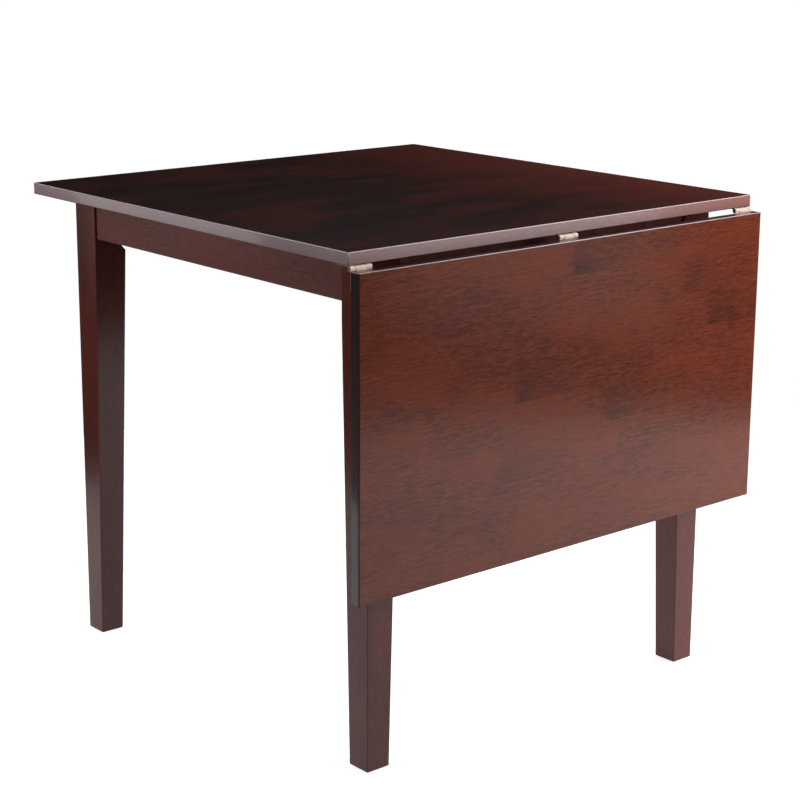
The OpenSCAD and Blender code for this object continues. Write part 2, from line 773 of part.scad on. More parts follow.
table_top();
drop_leaf();
leg_front_left();
leg_front_right();
leg_rear_left();
leg_rear_right();
apron_front();
apron_rear();
apron_left();
apron_right();
corner_bracket_front_left();
corner_bracket_front_right();
corner_bracket_rear_left();
corner_bracket_rear_right();
corner_bracket_screws();
hanger_bolts();
hanger_washers();
hanger_nuts();
top_angle_brackets();
top_angle_screws();
foot_glides();
hinge_top_plate_left();
hinge_top_plate_middle();
hinge_top_plate_right();
hinge_leaf_plate_left();
hinge_leaf_plate_middle();
hinge_leaf_plate_right();
hinge_pin_left();
hinge_pin_middle();
hinge_pin_right();
hinge_top_screws();
hinge_leaf_screws();
brace_frame_bracket_left();
brace_frame_bracket_right();
brace_lower_arm_left();
brace_lower_arm_right();
brace_upper_arm_left();
brace_upper_arm_right();
brace_leaf_bracket_left();
brace_leaf_bracket_right();
brace_frame_rivets();
brace_elbow_rivet_left();
brace_elbow_rivet_right();
brace_arm_rivet_left();
brace_arm_rivet_right();
brace_leaf_rivets();
brace_frame_screws();
brace_leaf_screws();
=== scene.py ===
"""Square drop-leaf dining table in dark stained hardwood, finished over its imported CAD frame.

Every length is in metres and every position is in the frame's own axes: X along the hinge line,
the leaf hangs on the -Y side and the floor is z = 0. CAD nodes whose shape is right keep it and
get a finish and soft edges. Screws, bolts and rivets are replaced by finer pieces at their solids.
"""

import json
import logging
import math
from collections.abc import Iterable, Sequence
from dataclasses import dataclass, replace
from enum import Enum
from functools import reduce

import bmesh
import bpy
import numpy as np
from mathutils import Matrix, Vector


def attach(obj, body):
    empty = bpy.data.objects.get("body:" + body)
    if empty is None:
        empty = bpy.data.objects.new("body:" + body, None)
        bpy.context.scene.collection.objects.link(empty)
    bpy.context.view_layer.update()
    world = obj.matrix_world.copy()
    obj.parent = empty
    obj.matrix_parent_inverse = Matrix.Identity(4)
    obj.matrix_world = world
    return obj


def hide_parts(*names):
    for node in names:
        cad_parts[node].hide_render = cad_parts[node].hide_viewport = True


LOG = logging.getLogger("table")
FRAME_PIXELS = 800.0
WELD = 1e-6
SMOOTH_ANGLE = math.radians(32)
STUDIO_SIDES = 96
AXES = (Vector((1, 0, 0)), Vector((0, 1, 0)), Vector((0, 0, 1)))
DIAGONALS = (Vector((1, 1, 0)), Vector((1, -1, 0)))

Colour = tuple[float, float, float]
Profile = Sequence[tuple[float, float]]
Socket = bpy.types.NodeSocket
Element = bmesh.types.BMVert | bmesh.types.BMEdge
WHITE: Colour = (1.0, 1.0, 1.0)
BLACK: Colour = (0.0, 0.0, 0.0)
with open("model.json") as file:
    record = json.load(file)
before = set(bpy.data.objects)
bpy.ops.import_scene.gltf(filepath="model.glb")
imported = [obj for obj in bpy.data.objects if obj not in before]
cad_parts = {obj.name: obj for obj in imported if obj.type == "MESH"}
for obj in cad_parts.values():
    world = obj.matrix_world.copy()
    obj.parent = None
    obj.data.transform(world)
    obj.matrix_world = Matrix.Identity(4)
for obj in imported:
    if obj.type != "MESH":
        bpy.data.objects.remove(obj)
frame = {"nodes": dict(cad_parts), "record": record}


class Grain(Enum):
    """Direction of the grain, as the turn that brings it onto the texture's X, in degrees."""

    ALONG_X = (0.0, 0.0, 0.0)
    ALONG_Y = (0.0, 0.0, -90.0)
    ALONG_Z = (0.0, 90.0, 0.0)


class Face(Enum):
    """Which way a board's broad faces look at rest."""

    UP = "up"
    FRONT = "front"


@dataclass(frozen=True)
class Finish:
    """What every finish has.

    Attributes:
        name: Name of the material.
        slot: The record's material slot that it stands for; not used.
    """

    name: str
    slot: str


@dataclass(frozen=True)
class WoodFinish(Finish):
    """Stained hardwood under a clear lacquer.

    Attributes:
        grain: Direction of the grain.
        face: Which way its broad faces look.
        stave_length: Usual length of a glued stave.
        stave_width: Width of a glued stave.
        pale: Colour of the palest grain.
        deep: Colour of the darkest grain.
        warm: Colour of the warm patches.
        smoke: Colour of pores and dark streaks.
        contrast: Strength of the grain.
        arris_highlight: Colour of a painted highlight on the upper arrises.
        arris: Share of that colour there.
        roughness: Roughness of the wood.
        shine: Specular level of the wood.
        coat: Weight of the lacquer.
        coat_roughness: Roughness of the lacquer.
        seed: Offset of the pattern, so that no two boards match.
        painted_light_drift: Gain of the tone towards the +X end, a painted gradient of light.
        smokiness: Strength of the dark starts of some staves.
        edge_sheen_shade: Colour painted on the long edges: painted sheen on the top, painted shade
            on the leaf.
        edge_sheen_shade_far: The same towards the +X end.
        end_sheen_shade: Colour painted on the ends of the boards: painted sheen on the top, painted
            shade on the leaf.
        edge_sheen_shade_share: Share of those painted colours on the edges and ends.
        sheen_shade_band: Heights between which those painted colours gain strength.
        corner: Share of the pores' colour on the other arrises.
    """

    grain: Grain
    face: Face
    stave_length: float
    stave_width: float
    pale: Colour
    deep: Colour
    warm: Colour
    smoke: Colour
    contrast: float
    arris_highlight: Colour
    arris: float
    roughness: float
    shine: float
    coat: float
    coat_roughness: float
    seed: float
    painted_light_drift: float = 0.0
    smokiness: float = 0.0
    edge_sheen_shade: Colour = BLACK
    edge_sheen_shade_far: Colour = BLACK
    end_sheen_shade: Colour = BLACK
    edge_sheen_shade_share: float = 0.0
    sheen_shade_band: tuple[float, float] = (0.0, 1.0)
    corner: float = 0.0


@dataclass(frozen=True)
class MetalFinish(Finish):
    """Metal with fine brushing and faint tarnish.

    Attributes:
        colour: Colour of the clean metal.
        tarnish: Colour of the duller patches.
        cut: Colour of the ends that face along X, where the sheet was cut.
        metallic: Share of bare metal under its lacquer and dust.
        roughness: Lowest roughness.
        spread: How much rougher the duller patches are.
        brushing: Repeats of the brushing per metre.
    """

    colour: Colour
    tarnish: Colour
    cut: Colour
    metallic: float
    roughness: float
    spread: float
    brushing: float


@dataclass(frozen=True)
class NylonFinish(Finish):
    """Moulded nylon.

    Attributes:
        colour: Colour of the nylon.
        wear_and_highlight: Colour of its scuffs.
        roughness: Its roughness.
    """

    colour: Colour
    wear_and_highlight: Colour
    roughness: float


# The top's colours are set far darker than the leaf's, which carries the same stain: that darkness
# is painted shade. Its edges and ends carry a painted sheen, its upper arrises a painted highlight,
# and it lightens towards +X as painted light.
TOP = WoodFinish(
    name="wood_top", slot="walnut_top", grain=Grain.ALONG_X, face=Face.UP,
    stave_length=0.33, stave_width=0.058,
    pale=(0.118, 0.0220, 0.0150), deep=(0.0072, 0.0042, 0.0040), warm=(0.110, 0.0182, 0.0118),
    smoke=(0.007, 0.004, 0.004), contrast=0.9, painted_light_drift=0.80, smokiness=0.40,
    edge_sheen_shade=(0.370, 0.240, 0.242), edge_sheen_shade_far=(0.290, 0.125, 0.106), end_sheen_shade=(0.330, 0.235, 0.246),
    edge_sheen_shade_share=0.95, sheen_shade_band=(0.732, 0.749),
    arris_highlight=(0.860, 0.720, 0.740), arris=1.00, corner=1.00,
    roughness=0.22, shine=0.50, coat=0.20, coat_roughness=0.07, seed=2.0,
)
# The leaf's edges and ends are painted darker as shade, its upper arrises carry a painted
# highlight, and it lightens a little towards +X as painted light.
LEAF = WoodFinish(
    name="wood_leaf", slot="walnut_leaf", grain=Grain.ALONG_X, face=Face.FRONT,
    stave_length=0.30, stave_width=0.056,
    pale=(0.168, 0.0365, 0.0178), deep=(0.066, 0.0160, 0.0100), warm=(0.168, 0.0330, 0.0124),
    smoke=(0.022, 0.009, 0.008), contrast=0.80, painted_light_drift=0.16, smokiness=0.90,
    edge_sheen_shade=(0.034, 0.017, 0.015), edge_sheen_shade_far=(0.034, 0.017, 0.015), end_sheen_shade=(0.015, 0.0095, 0.009),
    edge_sheen_shade_share=1.00, sheen_shade_band=(0.20, 0.30),
    arris_highlight=(0.800, 0.640, 0.660), arris=0.95, corner=1.00,
    roughness=0.15, shine=0.24, coat=0.03, coat_roughness=0.10, seed=5.0,
)
# The legs lighten towards +X as painted light, and their upper arrises carry a faint painted
# highlight.
LEG = WoodFinish(
    name="wood_leg", slot="walnut_leg", grain=Grain.ALONG_Z, face=Face.FRONT,
    stave_length=1.4, stave_width=0.31,
    pale=(0.130, 0.0315, 0.0240), deep=(0.057, 0.0155, 0.0130), warm=(0.119, 0.0252, 0.0187),
    smoke=(0.016, 0.008, 0.007), contrast=0.55, painted_light_drift=0.80,
    arris_highlight=(0.150, 0.080, 0.070), arris=0.20,
    roughness=0.20, shine=0.26, coat=0.05, coat_roughness=0.12, seed=9.0,
)
# The aprons' upper arrises carry a faint painted highlight.
LONG_APRON = WoodFinish(
    name="wood_apron_long", slot="walnut_apron", grain=Grain.ALONG_X, face=Face.FRONT,
    stave_length=1.6, stave_width=0.34,
    pale=(0.158, 0.055, 0.048), deep=(0.066, 0.025, 0.024), warm=(0.152, 0.044, 0.038),
    smoke=(0.020, 0.010, 0.009), contrast=0.6, arris_highlight=(0.150, 0.080, 0.070), arris=0.15,
    roughness=0.24, shine=0.36, coat=0.07, coat_roughness=0.14, seed=12.0,
)
SIDE_APRON = replace(
    LONG_APRON, name="wood_apron_side", grain=Grain.ALONG_Y, roughness=0.32, shine=0.25, coat=0.03,
    seed=15.0,
)
BRASS = MetalFinish(
    name="pale_brass", slot="brass", colour=(1.00, 0.83, 0.74), tarnish=(0.95, 0.70, 0.60),
    cut=(0.20, 0.13, 0.11), metallic=0.35, roughness=0.32, spread=0.12, brushing=2600.0,
)
ZINC = MetalFinish(
    name="zinc_plate", slot="zinc_steel", colour=(0.64, 0.65, 0.67), tarnish=(0.44, 0.44, 0.44),
    cut=(0.48, 0.48, 0.48), metallic=1.0, roughness=0.28, spread=0.20, brushing=1800.0,
)
NYLON = NylonFinish(
    name="dark_nylon", slot="nylon", colour=(0.022, 0.022, 0.024), wear_and_highlight=(0.070, 0.070, 0.074),
    roughness=0.45,
)


class Graph:
    """A node tree under construction, with short calls for the nodes used here."""

    def __init__(self, tree: bpy.types.NodeTree) -> None:
        """Starts from an existing tree."""
        self.tree = tree

    @classmethod
    def cleared(cls, owner: bpy.types.Material | bpy.types.World) -> "Graph":
        """Opens the emptied tree of a material or a world.

        Args:
            owner: The material or world.

        Returns:
            The graph of its tree.
        """
        owner.use_nodes = True
        owner.node_tree.nodes.clear()
        return cls(owner.node_tree)

    def add(self, kind: str, **settings: object) -> bpy.types.Node:
        """Adds a node.

        Args:
            kind: The node's type identifier.
            **settings: Attributes to set on it.

        Returns:
            The new node.
        """
        node = self.tree.nodes.new(kind)
        for name, value in settings.items():
            setattr(node, name, value)
        return node

    def put(self, value: object, socket: Socket) -> None:
        """Links or sets a socket.

        Args:
            value: An output socket to link from, or a constant.
            socket: The input socket.
        """
        if isinstance(value, Socket):
            self.tree.links.new(value, socket)
        elif isinstance(value, tuple) and socket.type == "RGBA":
            socket.default_value = (*value, 1.0)
        else:
            socket.default_value = value

    def wire(self, node: bpy.types.Node, values: Sequence[object], output: int | str = 0) -> Socket:
        """Fills a node's inputs in order.

        Args:
            node: The node.
            values: Values of its first inputs.
            output: The output wanted.

        Returns:
            That output.
        """
        for socket, value in zip(node.inputs, values, strict=False):
            self.put(value, socket)
        return node.outputs[output]

    def fill(self, node: bpy.types.Node, **values: object) -> Sequence[Socket]:
        """Fills a node's inputs by name.

        Args:
            node: The node.
            **values: Values of those inputs.

        Returns:
            Its outputs.
        """
        for name, value in values.items():
            self.put(value, node.inputs[name])
        return node.outputs

    def show(self, surface: Socket, kind: str = "Material") -> None:
        """Ends the tree in an output of a kind, Material or World."""
        self.fill(self.add("ShaderNodeOutput" + kind), Surface=surface)

    def pattern(self, tree: bpy.types.NodeTree, **inputs: object) -> Sequence[Socket]:
        """Adds a shared pattern and gives its outputs."""
        return self.fill(self.add("ShaderNodeGroup", node_tree=tree), **inputs)

    def math(self, operation: str, *values: object, clamp: bool = False) -> Socket:
        """Adds a Math node, held between 0 and 1 if clamped."""
        return self.wire(self.add("ShaderNodeMath", operation=operation, use_clamp=clamp), values)

    def chain(self, operation: str, *values: object) -> Socket:
        """Adds Math nodes that take in one value after the other."""
        return reduce(lambda result, value: self.math(operation, result, value), values)

    def vector_math(self, operation: str, *values: object) -> Socket:
        """Adds a Vector Math node."""
        return self.wire(self.add("ShaderNodeVectorMath", operation=operation), values)

    def split(self, vector: Socket) -> tuple[Socket, ...]:
        """Splits a vector into its X, Y and Z."""
        return tuple(self.fill(self.add("ShaderNodeSeparateXYZ"), Vector=vector))

    def join(self, *values: object) -> Socket:
        """Combines an X, a Y and a Z into a vector."""
        return self.wire(self.add("ShaderNodeCombineXYZ"), values)

    def noise(self, vector: Socket, scale: float, detail: float, roughness: float) -> Socket:
        """Adds a Noise Texture, whose value is about 0.5 on average."""
        node = self.add("ShaderNodeTexNoise")
        return self.fill(node, Vector=vector, Scale=scale, Detail=detail, Roughness=roughness)[0]

    def random(self, vector: Socket) -> Socket:
        """Adds a White Noise Texture, whose value is from 0 to 1."""
        return self.wire(self.add("ShaderNodeTexWhiteNoise"), [vector], "Value")

    def remap(
        self, value: Socket, low: float, high: float, start: float = 0.0, end: float = 1.0,
    ) -> Socket:
        """Maps low to start and high to end, smoothly, and holds the result between them."""
        node = self.add("ShaderNodeMapRange", interpolation_type="SMOOTHSTEP")
        return self.wire(node, (value, low, high, start, end))

    def mix(self, factor: object, first: object, second: object) -> Socket:
        """Mixes two colours.

        Args:
            factor: Share of the second.
            first: First colour.
            second: Second colour.

        Returns:
            The mixed colour.
        """
        node = self.add("ShaderNodeMix", data_type="RGBA")
        # This node has sockets for each type of data; its colours are inputs 6 and 7 and output 2.
        for number, value in ((0, factor), (6, first), (7, second)):
            self.put(value, node.inputs[number])
        return node.outputs[2]

    def total(self, start: float, *terms: tuple[Socket, float]) -> Socket:
        """Adds up weighted values about their middle.

        Args:
            start: The result where each value is 0.5.
            *terms: Values and their weights.

        Returns:
            The sum, held between 0 and 1.
        """
        result: object = start - 0.5 * sum(weight for _, weight in terms)
        for value, weight in terms:
            result = self.math("MULTIPLY_ADD", value, weight, result)
        return self.math("ADD", result, 0.0, clamp=True)

    def bump(self, height: Socket, distance: float, strength: float) -> Socket:
        """Adds a Bump node for a height from 0 to 1, where 1 is the distance in metres."""
        node = self.add("ShaderNodeBump")
        return self.fill(node, Strength=strength, Distance=distance, Height=height)[0]


def add_object(name: str, data: bpy.types.ID) -> bpy.types.Object:
    """Adds an object to the scene.

    Args:
        name: Its name.
        data: Its mesh, light or camera.

    Returns:
        The object, at the origin.
    """
    obj = bpy.data.objects.new(name, data)
    bpy.context.scene.collection.objects.link(obj)
    return obj


def add_mesh(name: str, bm: bmesh.types.BMesh, material: bpy.types.Material) -> bpy.types.Object:
    """Adds an object with the shape of a bmesh, which is then freed.

    Args:
        name: Name of the object and its mesh.
        bm: The shape.
        material: Its material.

    Returns:
        The object.
    """
    mesh = bpy.data.meshes.new(name)
    bm.to_mesh(mesh)
    bm.free()
    mesh.materials.append(material)
    return add_object(name, mesh)


class PatternShop:
    """Makes the node groups that the wood finishes share.

    Attributes:
        ROW_STEP: Rows that the staves move across for each unit of the seed.
        ROW_KEY: Number that sets the rows' randomness apart.
        SMOKE_KEY: The same for the smoked starts.
        ROW_SLIDE: Staves that a row moves along, at most.
        LENGTHS: Spread and least of the staves that lie in a row's usual stave length.
        FADE: Power with which a smoked start fades along its stave.
        SLANT: Gain towards a stave's lower edge, and the share that is left at the other.
        START: Share of a stave in which the smoke sets in.
        SMOKED: Chances between which a stave's start is smoked.
        JOINT_WIDTH: Width of a glue line.
        SCATTER: Shift of the figure from one stave to the next.
        LAYERS: Repeats per metre along and across the grain, detail and roughness of each layer.
        PORES: Noise between which pores open.
        NARROW: How broad a face looks, from the board's narrow faces to its broad ones.
        ENDS: How far a face looks along X, from other faces to the ends.
        ARRIS: Largest part of the normal, from an arris to a flat face.
        UPPER: How far an arris looks up, from the others to the upper ones.
        NEAR: How far it looks towards +X and +Y, and the strength of its painted highlight.
    """

    ROW_STEP = 0.37
    ROW_KEY = 3.0
    SMOKE_KEY = (31.0, 7.0, 5.0)
    ROW_SLIDE = 17.0
    LENGTHS = (0.5, 0.75)
    FADE = 4.0
    SLANT = (0.8, 0.2)
    START = 0.08
    SMOKED = (0.76, 0.96)
    JOINT_WIDTH = 0.0007
    SCATTER = (0.731, 0.731, 0.731)
    LAYERS = {
        "Hue": (5.0, 12.0, 2.0, 0.5),
        "Cloud": (5.5, 19.0, 3.0, 0.6),
        "Streak": (7.0, 140.0, 3.0, 0.6),
        "Fibre": (60.0, 460.0, 3.0, 0.60),
        "Pores": (90.0, 640.0, 1.0, 0.5),
        "Ripple": (9.0, 26.0, 2.0, 0.5),
    }
    PORES = (0.60, 0.70)
    NARROW = (0.35, 0.80, 1.0, 0.0)
    ENDS = (0.90, 0.99)
    ARRIS = (0.92, 0.995, 1.0, 0.0)
    UPPER = (0.05, 0.30)
    NEAR = (0.0, 0.25, 1.0, 0.3)

    @staticmethod
    def start(
        name: str, inputs: dict[str, str], outputs: dict[str, str],
    ) -> tuple[Graph, Sequence[Socket], bpy.types.Node]:
        """Makes an empty shader group.

        Args:
            name: Its name.
            inputs: Socket type of each input.
            outputs: Socket type of each output.

        Returns:
            The graph, the sockets that come in, and the node to fill with what goes out.
        """
        tree = bpy.data.node_groups.new(name, "ShaderNodeTree")
        for direction, sockets in (("INPUT", inputs), ("OUTPUT", outputs)):
            for label, kind in sockets.items():
                tree.interface.new_socket(label, in_out=direction, socket_type="NodeSocket" + kind)
        graph = Graph(tree)
        return graph, graph.add("NodeGroupInput").outputs, graph.add("NodeGroupOutput")

    @classmethod
    def staves(cls) -> bpy.types.NodeTree:
        """Edge-glued staves in rows, each with its own tone, some smoked where they begin.

        Returns:
            The group. Its vector is in metres, with the grain along X and the rows across Y.
        """
        graph, given, result = cls.start(
            "Staves",
            {"Vector": "Vector", "Length": "Float", "Width": "Float", "Seed": "Float"},
            {"Tone": "Float", "Smoke": "Float", "Joint": "Float", "Shift": "Vector"},
        )
        x, y, _ = graph.split(given["Vector"])
        across = graph.math("DIVIDE", y, given["Width"])
        across = graph.math("MULTIPLY_ADD", given["Seed"], cls.ROW_STEP, across)
        row = graph.math("FLOOR", across)
        row_random = graph.random(graph.join(row, given["Seed"], cls.ROW_KEY))
        along = graph.math("DIVIDE", x, given["Length"])
        along = graph.math("MULTIPLY", along, graph.math("MULTIPLY_ADD", row_random, *cls.LENGTHS))
        along = graph.math("MULTIPLY_ADD", row_random, cls.ROW_SLIDE, along)
        cell = graph.join(graph.math("FLOOR", along), row, given["Seed"])
        chance = graph.random(graph.vector_math("ADD", cell, cls.SMOKE_KEY))
        done = graph.math("FRACT", along)
        fade = graph.math("POWER", graph.math("SUBTRACT", 1.0, done), cls.FADE)
        low_edge = graph.math("SUBTRACT", 1.0, graph.math("FRACT", across))
        slant = graph.math("MULTIPLY_ADD", low_edge, *cls.SLANT)
        onset, smoked = graph.remap(done, 0.0, cls.START), graph.remap(chance, *cls.SMOKED)
        smoke = graph.chain("MULTIPLY", fade, slant, onset, smoked)
        gap_x = graph.math("MULTIPLY", graph.math("PINGPONG", along, 0.5), given["Length"])
        gap_y = graph.math("MULTIPLY", graph.math("PINGPONG", across, 0.5), given["Width"])
        joint = graph.remap(graph.math("MINIMUM", gap_x, gap_y), 0.0, cls.JOINT_WIDTH, 1.0, 0.0)
        shift = graph.vector_math("MULTIPLY", cell, cls.SCATTER)
        graph.fill(result, Tone=graph.random(cell), Smoke=smoke, Joint=joint, Shift=shift)
        return graph.tree

    @classmethod
    def figure(cls) -> bpy.types.NodeTree:
        """Figure of the wood along X, from broad clouds down to fine fibre and short pores.

        Returns:
            The group. Its vector is in metres.
        """
        graph, given, result = cls.start(
            "Figure", {"Vector": "Vector"}, dict.fromkeys(cls.LAYERS, "Float"),
        )
        for label, (along, across, detail, roughness) in cls.LAYERS.items():
            stretched = graph.vector_math("MULTIPLY", given["Vector"], (along, across, across))
            value = graph.noise(stretched, 1.0, detail, roughness)
            if label == "Pores":
                value = graph.remap(value, *cls.PORES)
            graph.fill(result, **{label: value})
        return graph.tree

    @classmethod
    def edges(cls) -> bpy.types.NodeTree:
        """Masks of a board's narrow faces, of its ends and of its rounded arrises.

        Returns:
            The group. Its normal is the object's, Upper marks the arrises that look up at rest,
            most where they face -X or -Y, for a painted highlight, and Corner the others.
        """
        graph, given, result = cls.start(
            "Edges", {"Normal": "Vector", "Upward": "Float"},
            dict.fromkeys(("Narrow", "Ends", "Upper", "Corner"), "Float"),
        )
        side, facing, height = graph.split(given["Normal"])
        x, y, z = graph.split(graph.vector_math("ABSOLUTE", given["Normal"]))
        near = graph.remap(graph.math("ADD", side, facing), *cls.NEAR)
        broad = graph.math("MULTIPLY_ADD", graph.math("SUBTRACT", z, y), given["Upward"], y)
        arris = graph.remap(graph.chain("MAXIMUM", x, y, z), *cls.ARRIS)
        tilt = graph.math("SUBTRACT", height, graph.math("MINIMUM", x, y))
        upper = graph.remap(tilt, *cls.UPPER)
        # Arrises that look up, which carry the painted highlight.
        wear_and_highlight = graph.math("MULTIPLY", arris, upper)
        graph.fill(
            result,
            Narrow=graph.remap(broad, *cls.NARROW),
            Ends=graph.remap(x, *cls.ENDS),
            Upper=graph.math("MULTIPLY", wear_and_highlight, near),
            Corner=graph.math("MULTIPLY", arris, graph.math("SUBTRACT", 1.0, upper)),
        )
        return graph.tree


class FinishShop:
    """Makes each finish once and hands out its material.

    Attributes:
        SEED_SHIFT: Move of a pattern along each axis for each unit of the seed, in metres.
        FAR_END: X at which a board's far end begins and is full.
        TONES: Weight of each layer in the tone of the wood.
        WARM_PATCHES: Hue at which warm patches begin and are full, and their least and full share.
        PORE_SHARE: Share of the smoke colour in the pores.
        JOINT_SHARE: The same in the glue lines.
        SHEEN_SHADE_GAIN: Strength of the painted sheen and shade on the edges at the low and high
            end of its band.
        SHEEN_SHADE_TONE: Gain of that painted sheen and shade with the tone, and its strength where
            the tone is 0.
        FAR_HIGHLIGHT: Change of the arrises' painted highlight share towards the far end.
        RIPPLE_ROUGH: Roughness that ripples in the lacquer add.
        CORNER_ROUGH: Roughness that the dark arrises add.
        SHEEN_SHADE_ROUGH: Roughness that the painted sheen and shade mask adds.
        SHEEN_SHADE_COAT: Lacquer that the painted sheen and shade mask adds.
        RIDGES: Height of the fibre, and of fibre and pores together.
        DULL_PATCHES: Noise at which the duller patches of metal begin and are full.
        CUT_ENDS: How far a face looks along X, from other faces to the cut ends.
        BRUSH_STRETCH: Repeats of the brushing along each axis, as shares of the finish's own.
        BRUSH_ROUGH: Roughness that brushing adds.
        SCUFFS: Noise at which scuffs in nylon begin and are full.
        SCUFF_ROUGH: Roughness that scuffs add.
        GRAIN_RELIEF: Height of the grain.
        BRUSH_RELIEF: Height of the brushing on metal.
        GRIT_RELIEF: Height of the texture of nylon.
    """

    SEED_SHIFT = (1.0, 0.7, 1.3)
    FAR_END = (0.0, 0.42)
    TONES = {"Tone": 0.15, "Cloud": 0.6, "Streak": 0.35, "Fibre": 3.3}
    WARM_PATCHES = (0.42, 0.64, 0.0, 0.4)
    PORE_SHARE = 0.22
    JOINT_SHARE = 0.16
    SHEEN_SHADE_GAIN = (0.82, 1.05)
    SHEEN_SHADE_TONE = (0.32, 0.76)
    FAR_HIGHLIGHT = -0.3
    RIPPLE_ROUGH = 0.06
    CORNER_ROUGH = 0.4
    SHEEN_SHADE_ROUGH = 0.25
    SHEEN_SHADE_COAT = 0.6
    RIDGES = (0.6, 0.3)
    DULL_PATCHES = (0.38, 0.70)
    CUT_ENDS = (0.80, 0.98)
    BRUSH_STRETCH = (0.12, 1.0, 1.0)
    BRUSH_ROUGH = 0.06
    SCUFFS = (0.52, 0.72)
    SCUFF_ROUGH = 0.2
    GRAIN_RELIEF = 0.00006
    BRUSH_RELIEF = 0.00002
    GRIT_RELIEF = 0.00003

    def __init__(self) -> None:
        """Makes the shared patterns."""
        self.made: dict[str, bpy.types.Material] = {}
        self.staves = PatternShop.staves()
        self.figure = PatternShop.figure()
        self.edges = PatternShop.edges()

    def material(self, finish: Finish) -> bpy.types.Material:
        """Gives a finish's material.

        Args:
            finish: The finish.

        Returns:
            Its material, made on first use.
        """
        if finish.name not in self.made:
            self.made[finish.name] = bpy.data.materials.new(finish.name)
            graph = Graph.cleared(self.made[finish.name])
            shader = graph.add("ShaderNodeBsdfPrincipled")
            graph.show(shader.outputs[0])
            recipes = {WoodFinish: self.wood, MetalFinish: self.metal, NylonFinish: self.nylon}
            recipes[type(finish)](graph, shader, finish)
        return self.made[finish.name]

    def wood(self, graph: Graph, shader: bpy.types.Node, finish: WoodFinish) -> None:
        """Stained and lacquered wood.

        Args:
            graph: The material's graph.
            shader: Its shader.
            finish: The finish.
        """
        place = graph.add("ShaderNodeTexCoord")
        turn = graph.add("ShaderNodeMapping")
        graph.put(place.outputs["Object"], turn.inputs["Vector"])
        turn.inputs["Rotation"].default_value = tuple(math.radians(a) for a in finish.grain.value)
        turn.inputs["Location"].default_value = tuple(finish.seed * s for s in self.SEED_SHIFT)
        x, y, z = graph.split(turn.outputs[0])
        laid = graph.join(x, y, z) if finish.face is Face.UP else graph.join(x, z, y)
        staves = graph.pattern(
            self.staves, Vector=laid, Length=finish.stave_length, Width=finish.stave_width,
            Seed=finish.seed,
        )
        board = graph.pattern(self.figure, Vector=laid)
        moved = graph.vector_math("ADD", laid, staves["Shift"])
        figure = graph.pattern(self.figure, Vector=moved)
        edges = graph.pattern(
            self.edges, Normal=place.outputs["Normal"], Upward=float(finish.face is Face.UP),
        )

        sideways, _, up = graph.split(place.outputs["Object"])
        far = graph.remap(sideways, *self.FAR_END)
        strength = finish.contrast
        layers = {"Tone": staves, "Cloud": board, "Streak": figure, "Fibre": figure}
        weighted = [(layers[name][name], weight * strength) for name, weight in self.TONES.items()]
        # The pull of the tone towards the +X end is a painted gradient of light.
        tone = graph.total(0.5, *weighted, (far, finish.painted_light_drift))
        colour = graph.mix(tone, finish.deep, finish.pale)
        colour = graph.mix(graph.remap(board["Hue"], *self.WARM_PATCHES), colour, finish.warm)
        starts = graph.math("MULTIPLY", staves["Smoke"], finish.smokiness)
        pores = graph.math("MULTIPLY", figure["Pores"], self.PORE_SHARE * strength)
        joints = graph.math("MULTIPLY", staves["Joint"], self.JOINT_SHARE)
        colour = graph.mix(graph.chain("MAXIMUM", starts, pores, joints), colour, finish.smoke)
        # Painted sheen on the top's edges and ends and painted shade on the leaf's, stronger higher
        # up and where the wood is paler.
        gain = graph.remap(up, *finish.sheen_shade_band, *self.SHEEN_SHADE_GAIN)
        edge_sheen_shade = graph.chain("MULTIPLY", edges["Narrow"], gain, finish.edge_sheen_shade_share)
        sheen_shade_by_tone = graph.math("MULTIPLY_ADD", tone, *self.SHEEN_SHADE_TONE)
        edge_sheen_shade = graph.math("MULTIPLY", edge_sheen_shade, sheen_shade_by_tone, clamp=True)
        dull_and_edge_sheen_shade = graph.mix(edges["Ends"], finish.edge_sheen_shade, finish.end_sheen_shade)
        colour = graph.mix(edge_sheen_shade, colour, graph.mix(far, dull_and_edge_sheen_shade, finish.edge_sheen_shade_far))
        # A painted highlight on the upper arrises, weaker towards +X.
        share = graph.math("MULTIPLY_ADD", far, self.FAR_HIGHLIGHT, finish.arris)
        arris_highlight = graph.math("MULTIPLY", edges["Upper"], share)
        colour = graph.mix(arris_highlight, colour, finish.arris_highlight)
        corner = graph.math("MULTIPLY", edges["Corner"], finish.corner)
        colour = graph.mix(corner, colour, finish.smoke)

        rough = graph.math("MULTIPLY_ADD", figure["Ripple"], self.RIPPLE_ROUGH, finish.roughness)
        rough = graph.math("MULTIPLY_ADD", corner, self.CORNER_ROUGH, rough)
        rough = graph.math("MULTIPLY_ADD", edge_sheen_shade, self.SHEEN_SHADE_ROUGH, rough)
        ridges = graph.math("MULTIPLY", figure["Fibre"], self.RIDGES[0])
        height = graph.math("SUBTRACT", ridges, figure["Pores"])
        height = graph.math("MULTIPLY_ADD", height, self.RIDGES[1], figure["Ripple"])
        coat = graph.math("MULTIPLY_ADD", edge_sheen_shade, self.SHEEN_SHADE_COAT, finish.coat)
        coat = graph.math("SUBTRACT", coat, corner, clamp=True)
        values = {
            "Base Color": colour, "Roughness": rough, "Coat Weight": coat,
            "Normal": graph.bump(height, self.GRAIN_RELIEF, strength=0.4),
            "Specular IOR Level": finish.shine, "Coat Roughness": finish.coat_roughness,
        }
        graph.fill(shader, **values)

